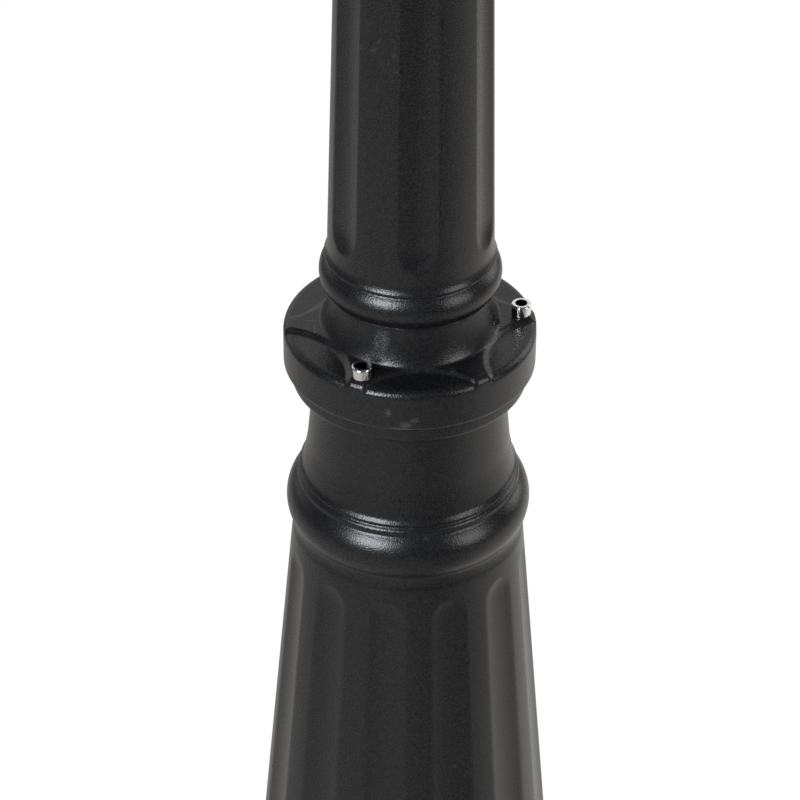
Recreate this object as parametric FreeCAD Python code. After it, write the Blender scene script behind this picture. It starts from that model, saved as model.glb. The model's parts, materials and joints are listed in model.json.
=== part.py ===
# Triple head lamp post, millimetres, +Z up, origin on the ground at the centre of the foot.
#
# Cast base with a fluted cone, a roll ring and a neck; a scalloped six-arm collar held down
# by three cap screws; a fluted, tapering shaft; a swivelling hub with three swan-neck arms;
# and on each arm a hexagonal lantern whose roof swings up on a hinge to change the lamp.

import FreeCAD, Part
import math
import os

V = FreeCAD.Vector
ORIGIN = V(0, 0, 0)
UP = V(0, 0, 1)

# ---------------------------------------------------------------- driving dimensions

# clearances
PAST = 1.0              # how far a cutter or a fused piece runs past the face it meets
PLAY = 0.3              # between pieces that move past each other
SLIP = 0.1              # round a spigot or tube that is pushed into its socket
RUN = 0.05              # round a pin or spigot that turns

# foot and fluted cone of the base casting
FOOT_RADIUS = 150.0
FOOT_PLATE = 14.0
FOOT_EDGE = 4.0
STEP_RADIUS = 116.0
STEP_HEIGHT = 18.0
OGEE_HEIGHT = 78.0
OGEE_BOW = 5.0
ROLL_HEIGHT = 22.0
ROLL_SWELL = 7.0
ROLL_SEAT = 4.0
FOOT_COVE = 18.0
FOOT_COVE_HOLLOW = 1.3
CONE_FOOT_RADIUS = 90.0
CONE_TOP_RADIUS = 60.0
CONE_HEIGHT = 342.8
CONE_FLUTES = 12
CONE_FLUTE_HALF_ANGLE = 9.0
CONE_FLUTE_DEPTH = 2.6
CONE_FLUTE_FOOT_END = 14.0
CONE_FLUTE_TOP_END = 8.0
BASE_WALL = 8.0
ANCHOR_COUNT = 4
ANCHOR_CIRCLE_RADIUS = 132.0
ANCHOR_HOLE_RADIUS = 6.5

# roll ring, cove and neck over the cone
RING_RADIUS = 62.7
RING_FOOT_RADIUS = 59.2
RING_SEAT_RADIUS = 54.0
RING_HEIGHT = 27.5
RING_SWEEP = 8.0         # hollow sweep from the ring down to the cone
RING_SWEEP_HOLLOW = 0.5
LINE_RADIUS = 54.6
LINE_HEIGHT = 3.4
LINE_SWELL = 1.5
COVE_LIP = 1.2           # upright edge at the cove's foot, over the fine line
COVE_FOOT_RADIUS = 55.6
COVE_HEIGHT = 14.3
COVE_HOLLOW = 0.85
NECK_FOOT_RADIUS = 51.8
NECK_TOP_RADIUS = 48.4
NECK_HEIGHT = 38.1
LIP_RADIUS = 59.5
LIP_HEIGHT = 19.2
LIP_FILLET = 1.2
NECK_WALL = 6.0
LEDGE_DEPTH = 19.0
LEDGE_WIDTH = 4.0

# collar: scalloped disc with six arms, skirt over the lip, flare and spigot
GASKET_THICKNESS = 1.5
COLLAR_RADIUS = 63.35
COLLAR_PLATE = 14.0
COLLAR_SKIRT = 10.0
COLLAR_ROUND = 4.2
SCALLOPS = 6
SCALLOP_DEPTH = 1.9
SCALLOP_HALF_ANGLE = 26.0
SCALLOP_INNER_RADIUS = 45.2
FLARE_FOOT_RADIUS = 44.6
FLARE_TOP_RADIUS = 40.9
FLARE_HEIGHT = 21.0
FLARE_HOLLOW = 1.1
SPIGOT_RADIUS = 30.0
SPIGOT_HEIGHT = 38.0
SPIGOT_WALL = 6.0

# cap screws, M6, on alternate arms
CAP_SCREWS = 3
CAP_SCREW_CIRCLE_RADIUS = 55.8
CAP_HEAD_RADIUS = 5.0
CAP_HEAD_HEIGHT = 6.0
CAP_HEAD_CHAMFER = 0.7
CAP_THREAD_RADIUS = 2.9
CAP_THREAD_LENGTH = 26.0
CAP_KEY_FLATS = 5.0
CAP_KEY_DEPTH = 3.0
TAP_DEPTH = 14.0

# shaft with its two foot beads and six flutes
BEAD_RADIUS = 45.4
BEAD_HEIGHT = 18.0
BEAD_SEAT_RADIUS = 41.4
QUIRK_HEIGHT = 3.0
ASTRAGAL_RADIUS = 42.1
ASTRAGAL_HEIGHT = 4.2
SHAFT_FOOT_RADIUS = 41.2
SHAFT_TOP_RADIUS = 21.0
SHAFT_LENGTH = 834.0
SHAFT_WALL = 5.5
SHAFT_FLUTES = 6
SHAFT_FLUTE_HALF_ANGLE = 14.0
SHAFT_FLUTE_DEPTH = 2.9
SHAFT_FLUTE_MARGIN = 6.5
SHAFT_TOP_BORE_DEPTH = 45.0

# capital on the shaft
CAPITAL_RADIUS = 40.0
CAPITAL_NECK_RADIUS = 23.5
CAPITAL_BEAD_SWELL = 6.0
CAPITAL_BEAD_HEIGHT = 12.0
CAPITAL_BELL_HEIGHT = 38.0
CAPITAL_BELL_HOLLOW = 2.7
CAPITAL_TABLE = 9.0
PIVOT_RADIUS = 14.0
PIVOT_HEIGHT = 40.0
PIVOT_BORE_RADIUS = 8.0

# hub that turns on the capital's pivot
WASHER_THICKNESS = 2.0
HUB_FOOT_RADIUS = 37.0
HUB_SKIRT = 18.0
HUB_RADIUS = 43.0
HUB_BALL_CUT = 30.0
HUB_FOOT_HOLLOW = 2.5
HUB_HEIGHT = 112.0
HUB_TOP_RADIUS = 17.0
HUB_TOP_LAND = 8.0
HUB_TOP_HOLLOW = 1.5
HUB_TOP_PLATE = 14.0
HUB_CAVITY_RADIUS = 21.0
HUB_CAVITY_CHAMFER = 6.0
SOCKET_RADIUS = 17.0
SOCKET_REACH = 64.0
SOCKET_HEIGHT = 66.0
SOCKET_ROOT = 4.0
SOCKET_RING = 8.0
SOCKET_RING_SWELL = 3.0
SET_SCREWS = 3
SET_SCREW_RADIUS = 3.0
SET_SCREW_LENGTH = 15.0
SET_SCREW_HEIGHT = 11.0
SET_KEY_FLATS = 3.0
SET_KEY_DEPTH = 2.5

# centre finial
FINIAL_STUD_RADIUS = 5.0
FINIAL_STUD_LENGTH = 12.0
FINIAL_FOOT_RADIUS = 15.0
FINIAL_FOOT_HEIGHT = 10.0
FINIAL_FOOT_HOLLOW = 1.5
FINIAL_WAIST_RADIUS = 8.0
FINIAL_BALL_RADIUS = 25.0
FINIAL_COLLAR_RADIUS = 14.0
FINIAL_COLLAR = 5.0
FINIAL_COLLAR_CHAMFER = 4.0
FINIAL_SPIRE_RADIUS = 7.5
FINIAL_SPIRE_HEIGHT = 114.0
FINIAL_TIP_NECK = 3.0
FINIAL_TIP_RADIUS = 5.0

# swan-neck arms
ARMS = 3
FIRST_ARM_ANGLE = 270.0
ARM_REACH = 320.0
ARM_TUBE_RADIUS = 11.0
ARM_TUBE_WALL = 2.5
ARM_INSERT = 34.0
ARM_DROP_ANGLE = 40.0
ARM_STUB = 4.0
ARM_DROP_RADIUS = 70.0
ARM_RISE = 22.0
SCROLL_WIDTH = 12.0
SCROLL_THICKNESS = 6.0
SCROLL_RADIUS = 52.0
SCROLL_SHRINK = 0.68
SCROLL_TURNS = 4
SCROLL_EYE_RADIUS = 7.5
SCROLL_SINK = 2.5
ARM_SCREW_RADIUS = 2.5
ARM_SCREW_LENGTH = 8.0
ARM_SCREW_INSET = 4.0
ARM_KEY_FLATS = 2.5
ARM_KEY_DEPTH = 2.0

# wiring inside
TRAY_THICKNESS = 2.0
TRAY_WIDTH = 66.0
TRAY_LENGTH = 150.0
TRAY_OFFSET = 14.0
BLOCK_LENGTH = 58.0
BLOCK_HEIGHT = 24.0
BLOCK_DROP = 34.0
BLOCK_WAYS = 3
BLOCK_SCREW_RADIUS = 3.0
BLOCK_SCREW_DEPTH = 4.0
CLAMP_WIDTH = 40.0
CLAMP_HEIGHT = 14.0
CLAMP_DEPTH = 12.0
CLAMP_CABLE_RADIUS = 5.0
CLAMP_RISE = 12.0
EARTH_RADIUS = 3.0
EARTH_LENGTH = 16.0
EARTH_NUT_RADIUS = 5.5
EARTH_NUT_HEIGHT = 5.0
MAIN_LEAD_RADIUS = 4.5
SPLICE_RADIUS = 15.0
SPLICE_HEIGHT = 30.0
ARM_LEAD_RADIUS = 2.5

# lantern: gallery, cage and panes
GALLERY_STEM_RADIUS = 14.0
GALLERY_SOCKET = 22.0
GALLERY_BEAD_SWELL = 4.0
GALLERY_NECK = 6.0
GALLERY_RADIUS = 68.0
GALLERY_DISH = 20.0
GALLERY_RIM = 6.0
GALLERY_RIM_SWELL = 3.0
CAGE_FOOT_RADIUS = 64.0
CAGE_TOP_RADIUS = 100.0
CAGE_HEIGHT = 200.0
CAGE_WALL = 5.0
CAGE_RIB = 6.0
CAGE_RAIL = 13.0
CAGE_FLANGE_RADIUS = 110.0
CAGE_FLANGE = 10.0
PANE_THICKNESS = 3.0
PANE_LAP = 5.0

# lamp holder and lamp, E27
HOLDER_RADIUS = 19.0
HOLDER_HEIGHT = 46.0
HOLDER_FOOT_RADIUS = 25.0
HOLDER_FOOT = 5.0
HOLDER_EDGE = 2.0
LAMP_CAP_RADIUS = 13.0
LAMP_CAP_LENGTH = 24.0
LAMP_CAP_TAPER = 4.0
LAMP_COLLAR = 2.0
LAMP_GLOBE_RADIUS = 30.0
LAMP_NECK_RADIUS = 15.0
LAMP_GLOBE_RISE = 52.5

# roof, vent and finial of a lantern
ROOF_RADIUS = 113.0
ROOF_RIM = 10.0
ROOF_SHOULDER_RADIUS = 100.0
ROOF_SHOULDER_RISE = 10.0
ROOF_WAIST_RADIUS = 62.0
ROOF_WAIST_RISE = 46.0
ROOF_TOP_RADIUS = 40.0
ROOF_TOP_RISE = 84.0
ROOF_WALL = 4.0
VENT_RADIUS = 26.0
VENT_HEIGHT = 20.0
VENT_WALL = 3.0
VENT_SLOTS = 8
VENT_SLOT_WIDTH = 7.0
VENT_SLOT_HEIGHT = 11.0
VENT_SLOT_RISE = 4.0
VENT_FLANGE_RADIUS = 33.0
VENT_FLANGE = 3.0
VENT_CAP_RADIUS = 38.0
VENT_CAP_RISE = 17.0
VENT_CAP_EDGE = 3.0
VENT_CAP_PLATE = 2.0
VENT_CAP_LAND_RADIUS = 9.0
TOP_FOOT_RADIUS = 8.0
TOP_FOOT_HEIGHT = 8.0
TOP_FOOT_HOLLOW = 1.0
TOP_WAIST_RADIUS = 4.5
TOP_BALL_RADIUS = 11.0
TOP_SPIKE_RADIUS = 3.5
TOP_TIP_RADIUS = 1.2
TOP_FINIAL_HEIGHT = 44.0
TOP_STUD_RADIUS = 3.0
TOP_STUD_LENGTH = 8.0

# roof hinge and thumb screw
HINGE_BARREL_RADIUS = 5.0
HINGE_PIN_RADIUS = 2.0
HINGE_LENGTH = 54.0
HINGE_MIDDLE = 26.0
HINGE_SPAN = 5.5
PIN_HEAD_RADIUS = 3.4
PIN_HEAD = 2.0
CATCH_WIDTH = 18.0
CATCH_THICKNESS = 4.0
CATCH_DROP = 11.0
THUMB_RADIUS = 7.5
THUMB_HEAD = 8.0
THUMB_THREAD_RADIUS = 2.0
THUMB_NECK = 2.0
THUMB_FACETS = 12

# ---------------------------------------------------------------- heights that follow

Z_STEP = FOOT_PLATE + STEP_HEIGHT
Z_ROLL = Z_STEP + OGEE_HEIGHT
Z_CONE = Z_ROLL + ROLL_HEIGHT + FOOT_COVE
Z_RING = Z_CONE + CONE_HEIGHT + RING_SWEEP
Z_LINE = Z_RING + RING_HEIGHT
Z_COVE = Z_LINE + LINE_HEIGHT + COVE_LIP
Z_NECK = Z_COVE + COVE_HEIGHT
Z_LIP = Z_NECK + NECK_HEIGHT
Z_FLANGE = Z_LIP + LIP_HEIGHT
Z_PLATE = Z_FLANGE + GASKET_THICKNESS
Z_TABLE = Z_PLATE + COLLAR_PLATE
Z_BEAD = Z_TABLE + FLARE_HEIGHT
Z_ASTRAGAL = Z_BEAD + BEAD_HEIGHT + QUIRK_HEIGHT
Z_SHAFT = Z_ASTRAGAL + ASTRAGAL_HEIGHT
Z_CAPITAL = Z_SHAFT + SHAFT_LENGTH
Z_BELL = Z_CAPITAL + CAPITAL_BEAD_HEIGHT
Z_PIVOT = Z_BELL + CAPITAL_BELL_HEIGHT + CAPITAL_TABLE
Z_HUB = Z_PIVOT + WASHER_THICKNESS
Z_ARM = Z_HUB + SOCKET_HEIGHT
Z_HUB_TOP = Z_HUB + HUB_HEIGHT
ARM_DROP = math.radians(ARM_DROP_ANGLE)
ARM_SWEEP_RADIUS = ((ARM_REACH - SOCKET_REACH - ARM_STUB - ARM_DROP_RADIUS * math.sin(ARM_DROP))
                    / (1 + math.sin(ARM_DROP)))
Z_SWEEP_END = (Z_ARM - ARM_DROP_RADIUS * (1 - math.cos(ARM_DROP))
               + ARM_SWEEP_RADIUS * math.cos(ARM_DROP))
Z_LANTERN = Z_SWEEP_END + ARM_RISE
# heights inside a lantern, from the top of the arm's tube
Z_DISH = GALLERY_NECK + GALLERY_DISH
Z_CAGE = Z_DISH + GALLERY_RIM
Z_EAVES = Z_CAGE + CAGE_HEIGHT
COS30 = math.cos(math.radians(30))
QUARTER_BOW = 1 - math.sqrt(0.5)      # bow of a quarter round, as a share of its radius
ARM_ANGLES = [FIRST_ARM_ANGLE + n * 360.0 / ARMS for n in range(ARMS)]

# ---------------------------------------------------------------- helpers


def arc_middle(start, end, bow):
    """Middle of the arc between two (radius, height) points. bow is how far it stands off the
    chord, to the outside where the outline runs up; None lays it on a sphere round the axis."""
    run = (end[0] - start[0], end[1] - start[1])
    if bow is not None:
        share = bow / math.hypot(*run)
        return (start[0] + end[0]) / 2 + run[1] * share, (start[1] + end[1]) / 2 - run[0] * share
    centre = (end[0] ** 2 + end[1] ** 2 - start[0] ** 2 - start[1] ** 2) / (2 * run[1])
    radius = math.hypot(start[0], start[1] - centre)
    first = math.atan2(start[1] - centre, start[0])
    last = math.atan2(end[1] - centre, end[0])
    half = (first + last) / 2
    return radius * math.cos(half), centre + radius * math.sin(half)


def outline_face(steps):
    """Closed face in the XZ plane. A step is (x, z) for a line, or (x, z, bow) for an arc."""
    here = steps[0]
    edges = []
    for step in list(steps[1:]) + [steps[0]]:
        start = V(here[0], 0, here[1])
        end = V(step[0], 0, step[1])
        if len(step) == 3:
            middle = arc_middle(here, step, step[2])
            edges.append(Part.Arc(start, V(middle[0], 0, middle[1]), end).toShape())
        elif (end - start).Length > 1e-6:
            edges.append(Part.LineSegment(start, end).toShape())
        here = step
    return Part.Face(Part.Wire(edges))


def turned(steps):
    """Solid of revolution round Z from an outline of radii and heights."""
    return outline_face(steps).revolve(ORIGIN, UP, 360)


def tube(outer, inner, bottom, top):
    return rod(outer, bottom, top).cut(rod(inner, bottom - PAST, top + PAST))


def rod(radius, bottom, top):
    return Part.makeCylinder(radius, top - bottom, V(0, 0, bottom))


def radial_rod(radius, start, end, height):
    """Rod along +X between two distances from the axis."""
    return Part.makeCylinder(radius, end - start, V(start, 0, height), V(1, 0, 0))


def block(x0, x1, y0, y1, z0, z1):
    return Part.makeBox(x1 - x0, y1 - y0, z1 - z0, V(x0, y0, z0))


def spun(shape, angle):
    copy = shape.copy()
    copy.rotate(ORIGIN, UP, angle)
    return copy


def ring_of(shape, count, start=0.0):
    return [spun(shape, start + n * 360.0 / count) for n in range(count)]


def polygon_wire(sides, radius, height, start=0.0):
    corners = []
    for n in range(sides + 1):
        angle = math.radians(start + n * 360.0 / sides)
        corners.append(V(radius * math.cos(angle), radius * math.sin(angle), height))
    return Part.makePolygon(corners)


def hex_solid(levels):
    """Ruled solid through hexagons; a level is (corner radius, height), flats face +X."""
    half_side = 30.0
    return Part.makeLoft([polygon_wire(6, r, z, half_side) for r, z in levels], True, True)


def hex_key(flats, bottom, top):
    wire = polygon_wire(6, flats / (2 * COS30), bottom)
    return Part.Face(wire).extrude(V(0, 0, top - bottom))


def bent_bar(section, start, heading, moves):
    """Bar in the XZ plane. section(point, direction) is a face square to the direction;
    a move is (length,) for a straight run or (radius, degrees) for a bend, + turns upwards."""
    point = V(start[0], 0, start[1])
    angle = math.radians(heading)
    runs = []
    for move in moves:
        direction = V(math.cos(angle), 0, math.sin(angle))
        face = section(point, direction)
        if len(move) == 1:
            runs.append(face.extrude(direction * move[0]))
            point = point + direction * move[0]
            continue
        radius, degrees = move
        side = 1 if degrees > 0 else -1
        centre = point + V(-direction.z, 0, direction.x) * (radius * side)
        runs.append(face.revolve(centre, V(0, -1, 0), degrees))
        angle += math.radians(degrees)
        point = centre + V(math.sin(angle), 0, -math.cos(angle)) * (radius * side)
    bar = runs[0]
    for run in runs[1:]:
        bar = bar.fuse(run)
    return bar, point


def round_section(radius):
    def face(point, direction):
        return Part.Face(Part.Wire(Part.makeCircle(radius, point, direction)))
    return face


def flat_section(width, thickness):
    def face(point, direction):
        across = V(0, width / 2, 0)
        through = V(-direction.z, 0, direction.x) * (thickness / 2)
        corners = [point + across + through, point - across + through,
                   point - across - through, point + across - through]
        return Part.Face(Part.makePolygon(corners + corners[:1]))
    return face


def flute_cutter(foot, top, half_angle, depth_share):
    """Round-ended flute in a cone's flank. foot and top are (radius, height) on the flank;
    its width is an angle and its depth a share of the radius, so it tapers with the cone."""
    depth = 1 - depth_share
    reach = (1 - depth ** 2) / (2 * (math.cos(math.radians(half_angle)) - depth))
    size = reach - depth
    start = V(foot[0] * reach, 0, foot[1])
    axis = V(top[0] * reach, 0, top[1]) - start
    r0, r1, length = foot[0] * size, top[0] * size, axis.Length
    cutter = turned([(0, -r0), (r0, 0, r0 * QUARTER_BOW), (r1, length),
                     (0, length + r1, r1 * QUARTER_BOW)])
    tilt = math.degrees(math.atan2(axis.x, axis.z))
    cutter.rotate(ORIGIN, V(0, 1, 0), tilt)
    cutter.translate(start)
    return cutter


def flute_end_length(radius, half_angle, depth_share):
    """Length of a flute's rounded end along the flank, from its tip to its full width."""
    depth = 1 - depth_share
    reach = (1 - depth ** 2) / (2 * (math.cos(math.radians(half_angle)) - depth))
    size = (reach - depth) * radius
    return math.sqrt(size ** 2 - (size - depth_share * radius) ** 2)


def flank_radius(foot, top, height):
    """Radius of a cone's flank at a height; foot and top are (radius, height)."""
    share = (height - foot[1]) / (top[1] - foot[1])
    return foot[0] + (top[0] - foot[0]) * share


# ---------------------------------------------------------------- base


def cut_flutes(body, foot, top, count, half_angle, depth, margins, start):
    """Cuts round-ended flutes in the flank from foot to top, margins clear of both ends."""
    share = depth / foot[0]
    lower = foot[1] + margins[0] + flute_end_length(foot[0], half_angle, share)
    upper = top[1] - margins[1] - flute_end_length(top[0], half_angle, share)
    cutter = flute_cutter((flank_radius(foot, top, lower), lower),
                          (flank_radius(foot, top, upper), upper), half_angle, share)
    return body.cut(ring_of(cutter, count, start))


def base_outline():
    cone_top = Z_CONE + CONE_HEIGHT
    roll_seat = CONE_FOOT_RADIUS + ROLL_SEAT
    lip_bore = NECK_TOP_RADIUS - NECK_WALL + LEDGE_WIDTH
    neck_bore = NECK_TOP_RADIUS - NECK_WALL
    return [
        (STEP_RADIUS - BASE_WALL, 0),
        (FOOT_RADIUS, 0),
        (FOOT_RADIUS, FOOT_PLATE - FOOT_EDGE),
        (FOOT_RADIUS - FOOT_EDGE, FOOT_PLATE, FOOT_EDGE * QUARTER_BOW),
        (STEP_RADIUS, FOOT_PLATE),
        (STEP_RADIUS, Z_STEP),
        ((STEP_RADIUS + roll_seat) / 2, Z_STEP + OGEE_HEIGHT / 2, OGEE_BOW),
        (roll_seat, Z_ROLL, -OGEE_BOW),
        (roll_seat, Z_ROLL + ROLL_HEIGHT, ROLL_SWELL),
        (CONE_FOOT_RADIUS, Z_CONE, -FOOT_COVE_HOLLOW),
        (CONE_TOP_RADIUS, cone_top),
        (RING_FOOT_RADIUS, Z_RING, -RING_SWEEP_HOLLOW),
        (RING_SEAT_RADIUS, Z_LINE, RING_RADIUS - (RING_FOOT_RADIUS + RING_SEAT_RADIUS) / 2),
        (LINE_RADIUS, Z_LINE),
        (LINE_RADIUS, Z_LINE + LINE_HEIGHT, LINE_SWELL),
        (COVE_FOOT_RADIUS, Z_LINE + LINE_HEIGHT),
        (COVE_FOOT_RADIUS, Z_COVE),
        (NECK_FOOT_RADIUS, Z_NECK, -COVE_HOLLOW),
        (NECK_TOP_RADIUS, Z_LIP - LIP_FILLET),
        (NECK_TOP_RADIUS + LIP_FILLET, Z_LIP),
        (LIP_RADIUS, Z_LIP),
        (LIP_RADIUS, Z_FLANGE),
        (lip_bore, Z_FLANGE),
        (lip_bore, Z_FLANGE - LEDGE_DEPTH),
        (neck_bore, Z_FLANGE - LEDGE_DEPTH),
        (neck_bore, Z_NECK),
        (CONE_TOP_RADIUS - BASE_WALL, cone_top),
        (CONE_FOOT_RADIUS - BASE_WALL, Z_CONE),
        (CONE_FOOT_RADIUS - BASE_WALL, Z_ROLL),
        (STEP_RADIUS - BASE_WALL, Z_STEP),
    ]


def base_casting():
    base = turned(base_outline())
    foot = (CONE_FOOT_RADIUS, Z_CONE)
    top = (CONE_TOP_RADIUS, Z_CONE + CONE_HEIGHT)
    margins = (CONE_FLUTE_FOOT_END, CONE_FLUTE_TOP_END)
    base = cut_flutes(base, foot, top, CONE_FLUTES, CONE_FLUTE_HALF_ANGLE, CONE_FLUTE_DEPTH,
                      margins, 180.0 / CONE_FLUTES)
    hole = rod(ANCHOR_HOLE_RADIUS, -PAST, FOOT_PLATE + PAST)
    hole.translate(V(ANCHOR_CIRCLE_RADIUS, 0, 0))
    tapped = rod(CAP_THREAD_RADIUS + SLIP, Z_FLANGE - TAP_DEPTH, Z_FLANGE + PAST)
    tapped.translate(V(CAP_SCREW_CIRCLE_RADIUS, 0, 0))
    holes = ring_of(hole, ANCHOR_COUNT, 180.0 / ANCHOR_COUNT) + ring_of(tapped, CAP_SCREWS)
    return base.cut(holes)


def collar_gasket():
    inner = NECK_TOP_RADIUS - NECK_WALL + LEDGE_WIDTH
    ring = tube(LIP_RADIUS, inner, Z_FLANGE, Z_PLATE)
    hole = rod(CAP_THREAD_RADIUS + PLAY, Z_FLANGE - PAST, Z_PLATE + PAST)
    hole.translate(V(CAP_SCREW_CIRCLE_RADIUS, 0, 0))
    return ring.cut(ring_of(hole, CAP_SCREWS))


# ---------------------------------------------------------------- collar and its screws


def collar_disc(top, rim_round):
    """Plate and skirt of the collar with its rounded rim, to a given table height."""
    skirt_bore = LIP_RADIUS + PLAY
    return turned([
        (SPIGOT_RADIUS - SPIGOT_WALL, Z_PLATE), (skirt_bore, Z_PLATE),
        (skirt_bore, Z_PLATE - COLLAR_SKIRT), (COLLAR_RADIUS, Z_PLATE - COLLAR_SKIRT),
        (COLLAR_RADIUS, top - rim_round),
        (COLLAR_RADIUS - rim_round, top, rim_round * QUARTER_BOW),
        (SPIGOT_RADIUS - SPIGOT_WALL, top)])


def scallop_cutters():
    """Six round cutters whose edges leave the six arms standing on the table."""
    edge = math.radians(SCALLOP_HALF_ANGLE)
    centre = ((COLLAR_RADIUS ** 2 - SCALLOP_INNER_RADIUS ** 2)
              / (2 * (COLLAR_RADIUS * math.cos(edge) - SCALLOP_INNER_RADIUS)))
    radius = centre - SCALLOP_INNER_RADIUS
    floor = rod(radius, Z_TABLE - SCALLOP_DEPTH, Z_TABLE + COLLAR_ROUND)
    floor.translate(V(centre, 0, 0))
    return ring_of(floor, SCALLOPS, 180.0 / SCALLOPS)


def collar():
    arms = collar_disc(Z_TABLE, COLLAR_ROUND).cut(scallop_cutters())
    floor = collar_disc(Z_TABLE - SCALLOP_DEPTH, COLLAR_ROUND)
    flare = turned([
        (SPIGOT_RADIUS - SPIGOT_WALL, Z_PLATE), (FLARE_FOOT_RADIUS, Z_PLATE),
        (FLARE_FOOT_RADIUS, Z_TABLE),
        (FLARE_TOP_RADIUS, Z_BEAD, -FLARE_HOLLOW),
        (SPIGOT_RADIUS, Z_BEAD), (SPIGOT_RADIUS, Z_BEAD + SPIGOT_HEIGHT),
        (SPIGOT_RADIUS - SPIGOT_WALL, Z_BEAD + SPIGOT_HEIGHT)])
    hole = rod(CAP_THREAD_RADIUS + PLAY, Z_PLATE - PAST, Z_TABLE + PAST)
    hole.translate(V(CAP_SCREW_CIRCLE_RADIUS, 0, 0))
    return arms.fuse([floor, flare]).cut(ring_of(hole, CAP_SCREWS)).removeSplitter()


def cap_screws():
    chamfer = CAP_HEAD_CHAMFER
    head_top = Z_TABLE + CAP_HEAD_HEIGHT
    screw = turned([
        (0, Z_TABLE - CAP_THREAD_LENGTH), (CAP_THREAD_RADIUS, Z_TABLE - CAP_THREAD_LENGTH),
        (CAP_THREAD_RADIUS, Z_TABLE), (CAP_HEAD_RADIUS, Z_TABLE),
        (CAP_HEAD_RADIUS, head_top - chamfer), (CAP_HEAD_RADIUS - chamfer, head_top),
        (0, head_top)])
    screw = screw.cut(hex_key(CAP_KEY_FLATS, head_top - CAP_KEY_DEPTH, head_top + PAST))
    screw.translate(V(CAP_SCREW_CIRCLE_RADIUS, 0, 0))
    return Part.makeCompound(ring_of(screw, CAP_SCREWS))


# ---------------------------------------------------------------- shaft and capital


def shaft():
    spigot_bore = SPIGOT_RADIUS + SLIP
    socket_top = Z_BEAD + SPIGOT_HEIGHT + PLAY
    foot_bore = flank_radius((SHAFT_FOOT_RADIUS, Z_SHAFT), (SHAFT_TOP_RADIUS, Z_CAPITAL),
                             socket_top) - SHAFT_WALL
    top_bore = SHAFT_TOP_RADIUS - SHAFT_WALL
    body = turned([
        (spigot_bore, Z_BEAD), (BEAD_SEAT_RADIUS, Z_BEAD),
        (BEAD_SEAT_RADIUS, Z_BEAD + BEAD_HEIGHT, BEAD_RADIUS - BEAD_SEAT_RADIUS),
        (SHAFT_FOOT_RADIUS, Z_BEAD + BEAD_HEIGHT), (SHAFT_FOOT_RADIUS, Z_ASTRAGAL),
        (SHAFT_FOOT_RADIUS, Z_SHAFT, ASTRAGAL_RADIUS - SHAFT_FOOT_RADIUS),
        (SHAFT_TOP_RADIUS, Z_CAPITAL), (top_bore, Z_CAPITAL),
        (top_bore, Z_CAPITAL - SHAFT_TOP_BORE_DEPTH),
        (foot_bore, socket_top), (spigot_bore, socket_top)])
    foot = (SHAFT_FOOT_RADIUS, Z_SHAFT)
    top = (SHAFT_TOP_RADIUS, Z_CAPITAL)
    margins = (SHAFT_FLUTE_MARGIN, SHAFT_FLUTE_MARGIN)
    return cut_flutes(body, foot, top, SHAFT_FLUTES, SHAFT_FLUTE_HALF_ANGLE, SHAFT_FLUTE_DEPTH,
                      margins, 180.0 / SHAFT_FLUTES)


def capital():
    plug = SHAFT_TOP_RADIUS - SHAFT_WALL - SLIP
    bell_top = Z_BELL + CAPITAL_BELL_HEIGHT
    round_edge = CAPITAL_TABLE / 2
    return turned([
        (PIVOT_BORE_RADIUS, Z_CAPITAL - SHAFT_TOP_BORE_DEPTH), (plug, Z_CAPITAL - SHAFT_TOP_BORE_DEPTH),
        (plug, Z_CAPITAL), (CAPITAL_NECK_RADIUS, Z_CAPITAL),
        (CAPITAL_NECK_RADIUS, Z_BELL, CAPITAL_BEAD_SWELL),
        (CAPITAL_RADIUS - round_edge, bell_top, -CAPITAL_BELL_HOLLOW),
        (CAPITAL_RADIUS - round_edge, Z_PIVOT, round_edge),
        (PIVOT_RADIUS, Z_PIVOT), (PIVOT_RADIUS, Z_PIVOT + PIVOT_HEIGHT),
        (PIVOT_BORE_RADIUS, Z_PIVOT + PIVOT_HEIGHT)])


# ---------------------------------------------------------------- hub and centre finial


def hub_outline():
    """Skirt over the washer, ball for the arm sockets, and land for the finial."""
    ball_edge = math.sqrt(HUB_RADIUS ** 2 - HUB_BALL_CUT ** 2)
    cavity_floor = Z_PIVOT + PIVOT_HEIGHT + PLAY
    cavity_top = Z_HUB_TOP - HUB_TOP_PLATE
    return [
        (PIVOT_RADIUS + RUN, Z_HUB), (HUB_FOOT_RADIUS, Z_HUB), (HUB_FOOT_RADIUS, Z_HUB + HUB_SKIRT),
        (ball_edge, Z_ARM - HUB_BALL_CUT, -HUB_FOOT_HOLLOW),
        (ball_edge, Z_ARM + HUB_BALL_CUT, None),
        (HUB_TOP_RADIUS, Z_HUB_TOP - HUB_TOP_LAND, -HUB_TOP_HOLLOW), (HUB_TOP_RADIUS, Z_HUB_TOP),
        (FINIAL_STUD_RADIUS + SLIP, Z_HUB_TOP), (FINIAL_STUD_RADIUS + SLIP, cavity_top),
        (HUB_CAVITY_RADIUS, cavity_top - HUB_CAVITY_CHAMFER), (HUB_CAVITY_RADIUS, cavity_floor),
        (PIVOT_RADIUS + RUN, cavity_floor)]


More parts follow.
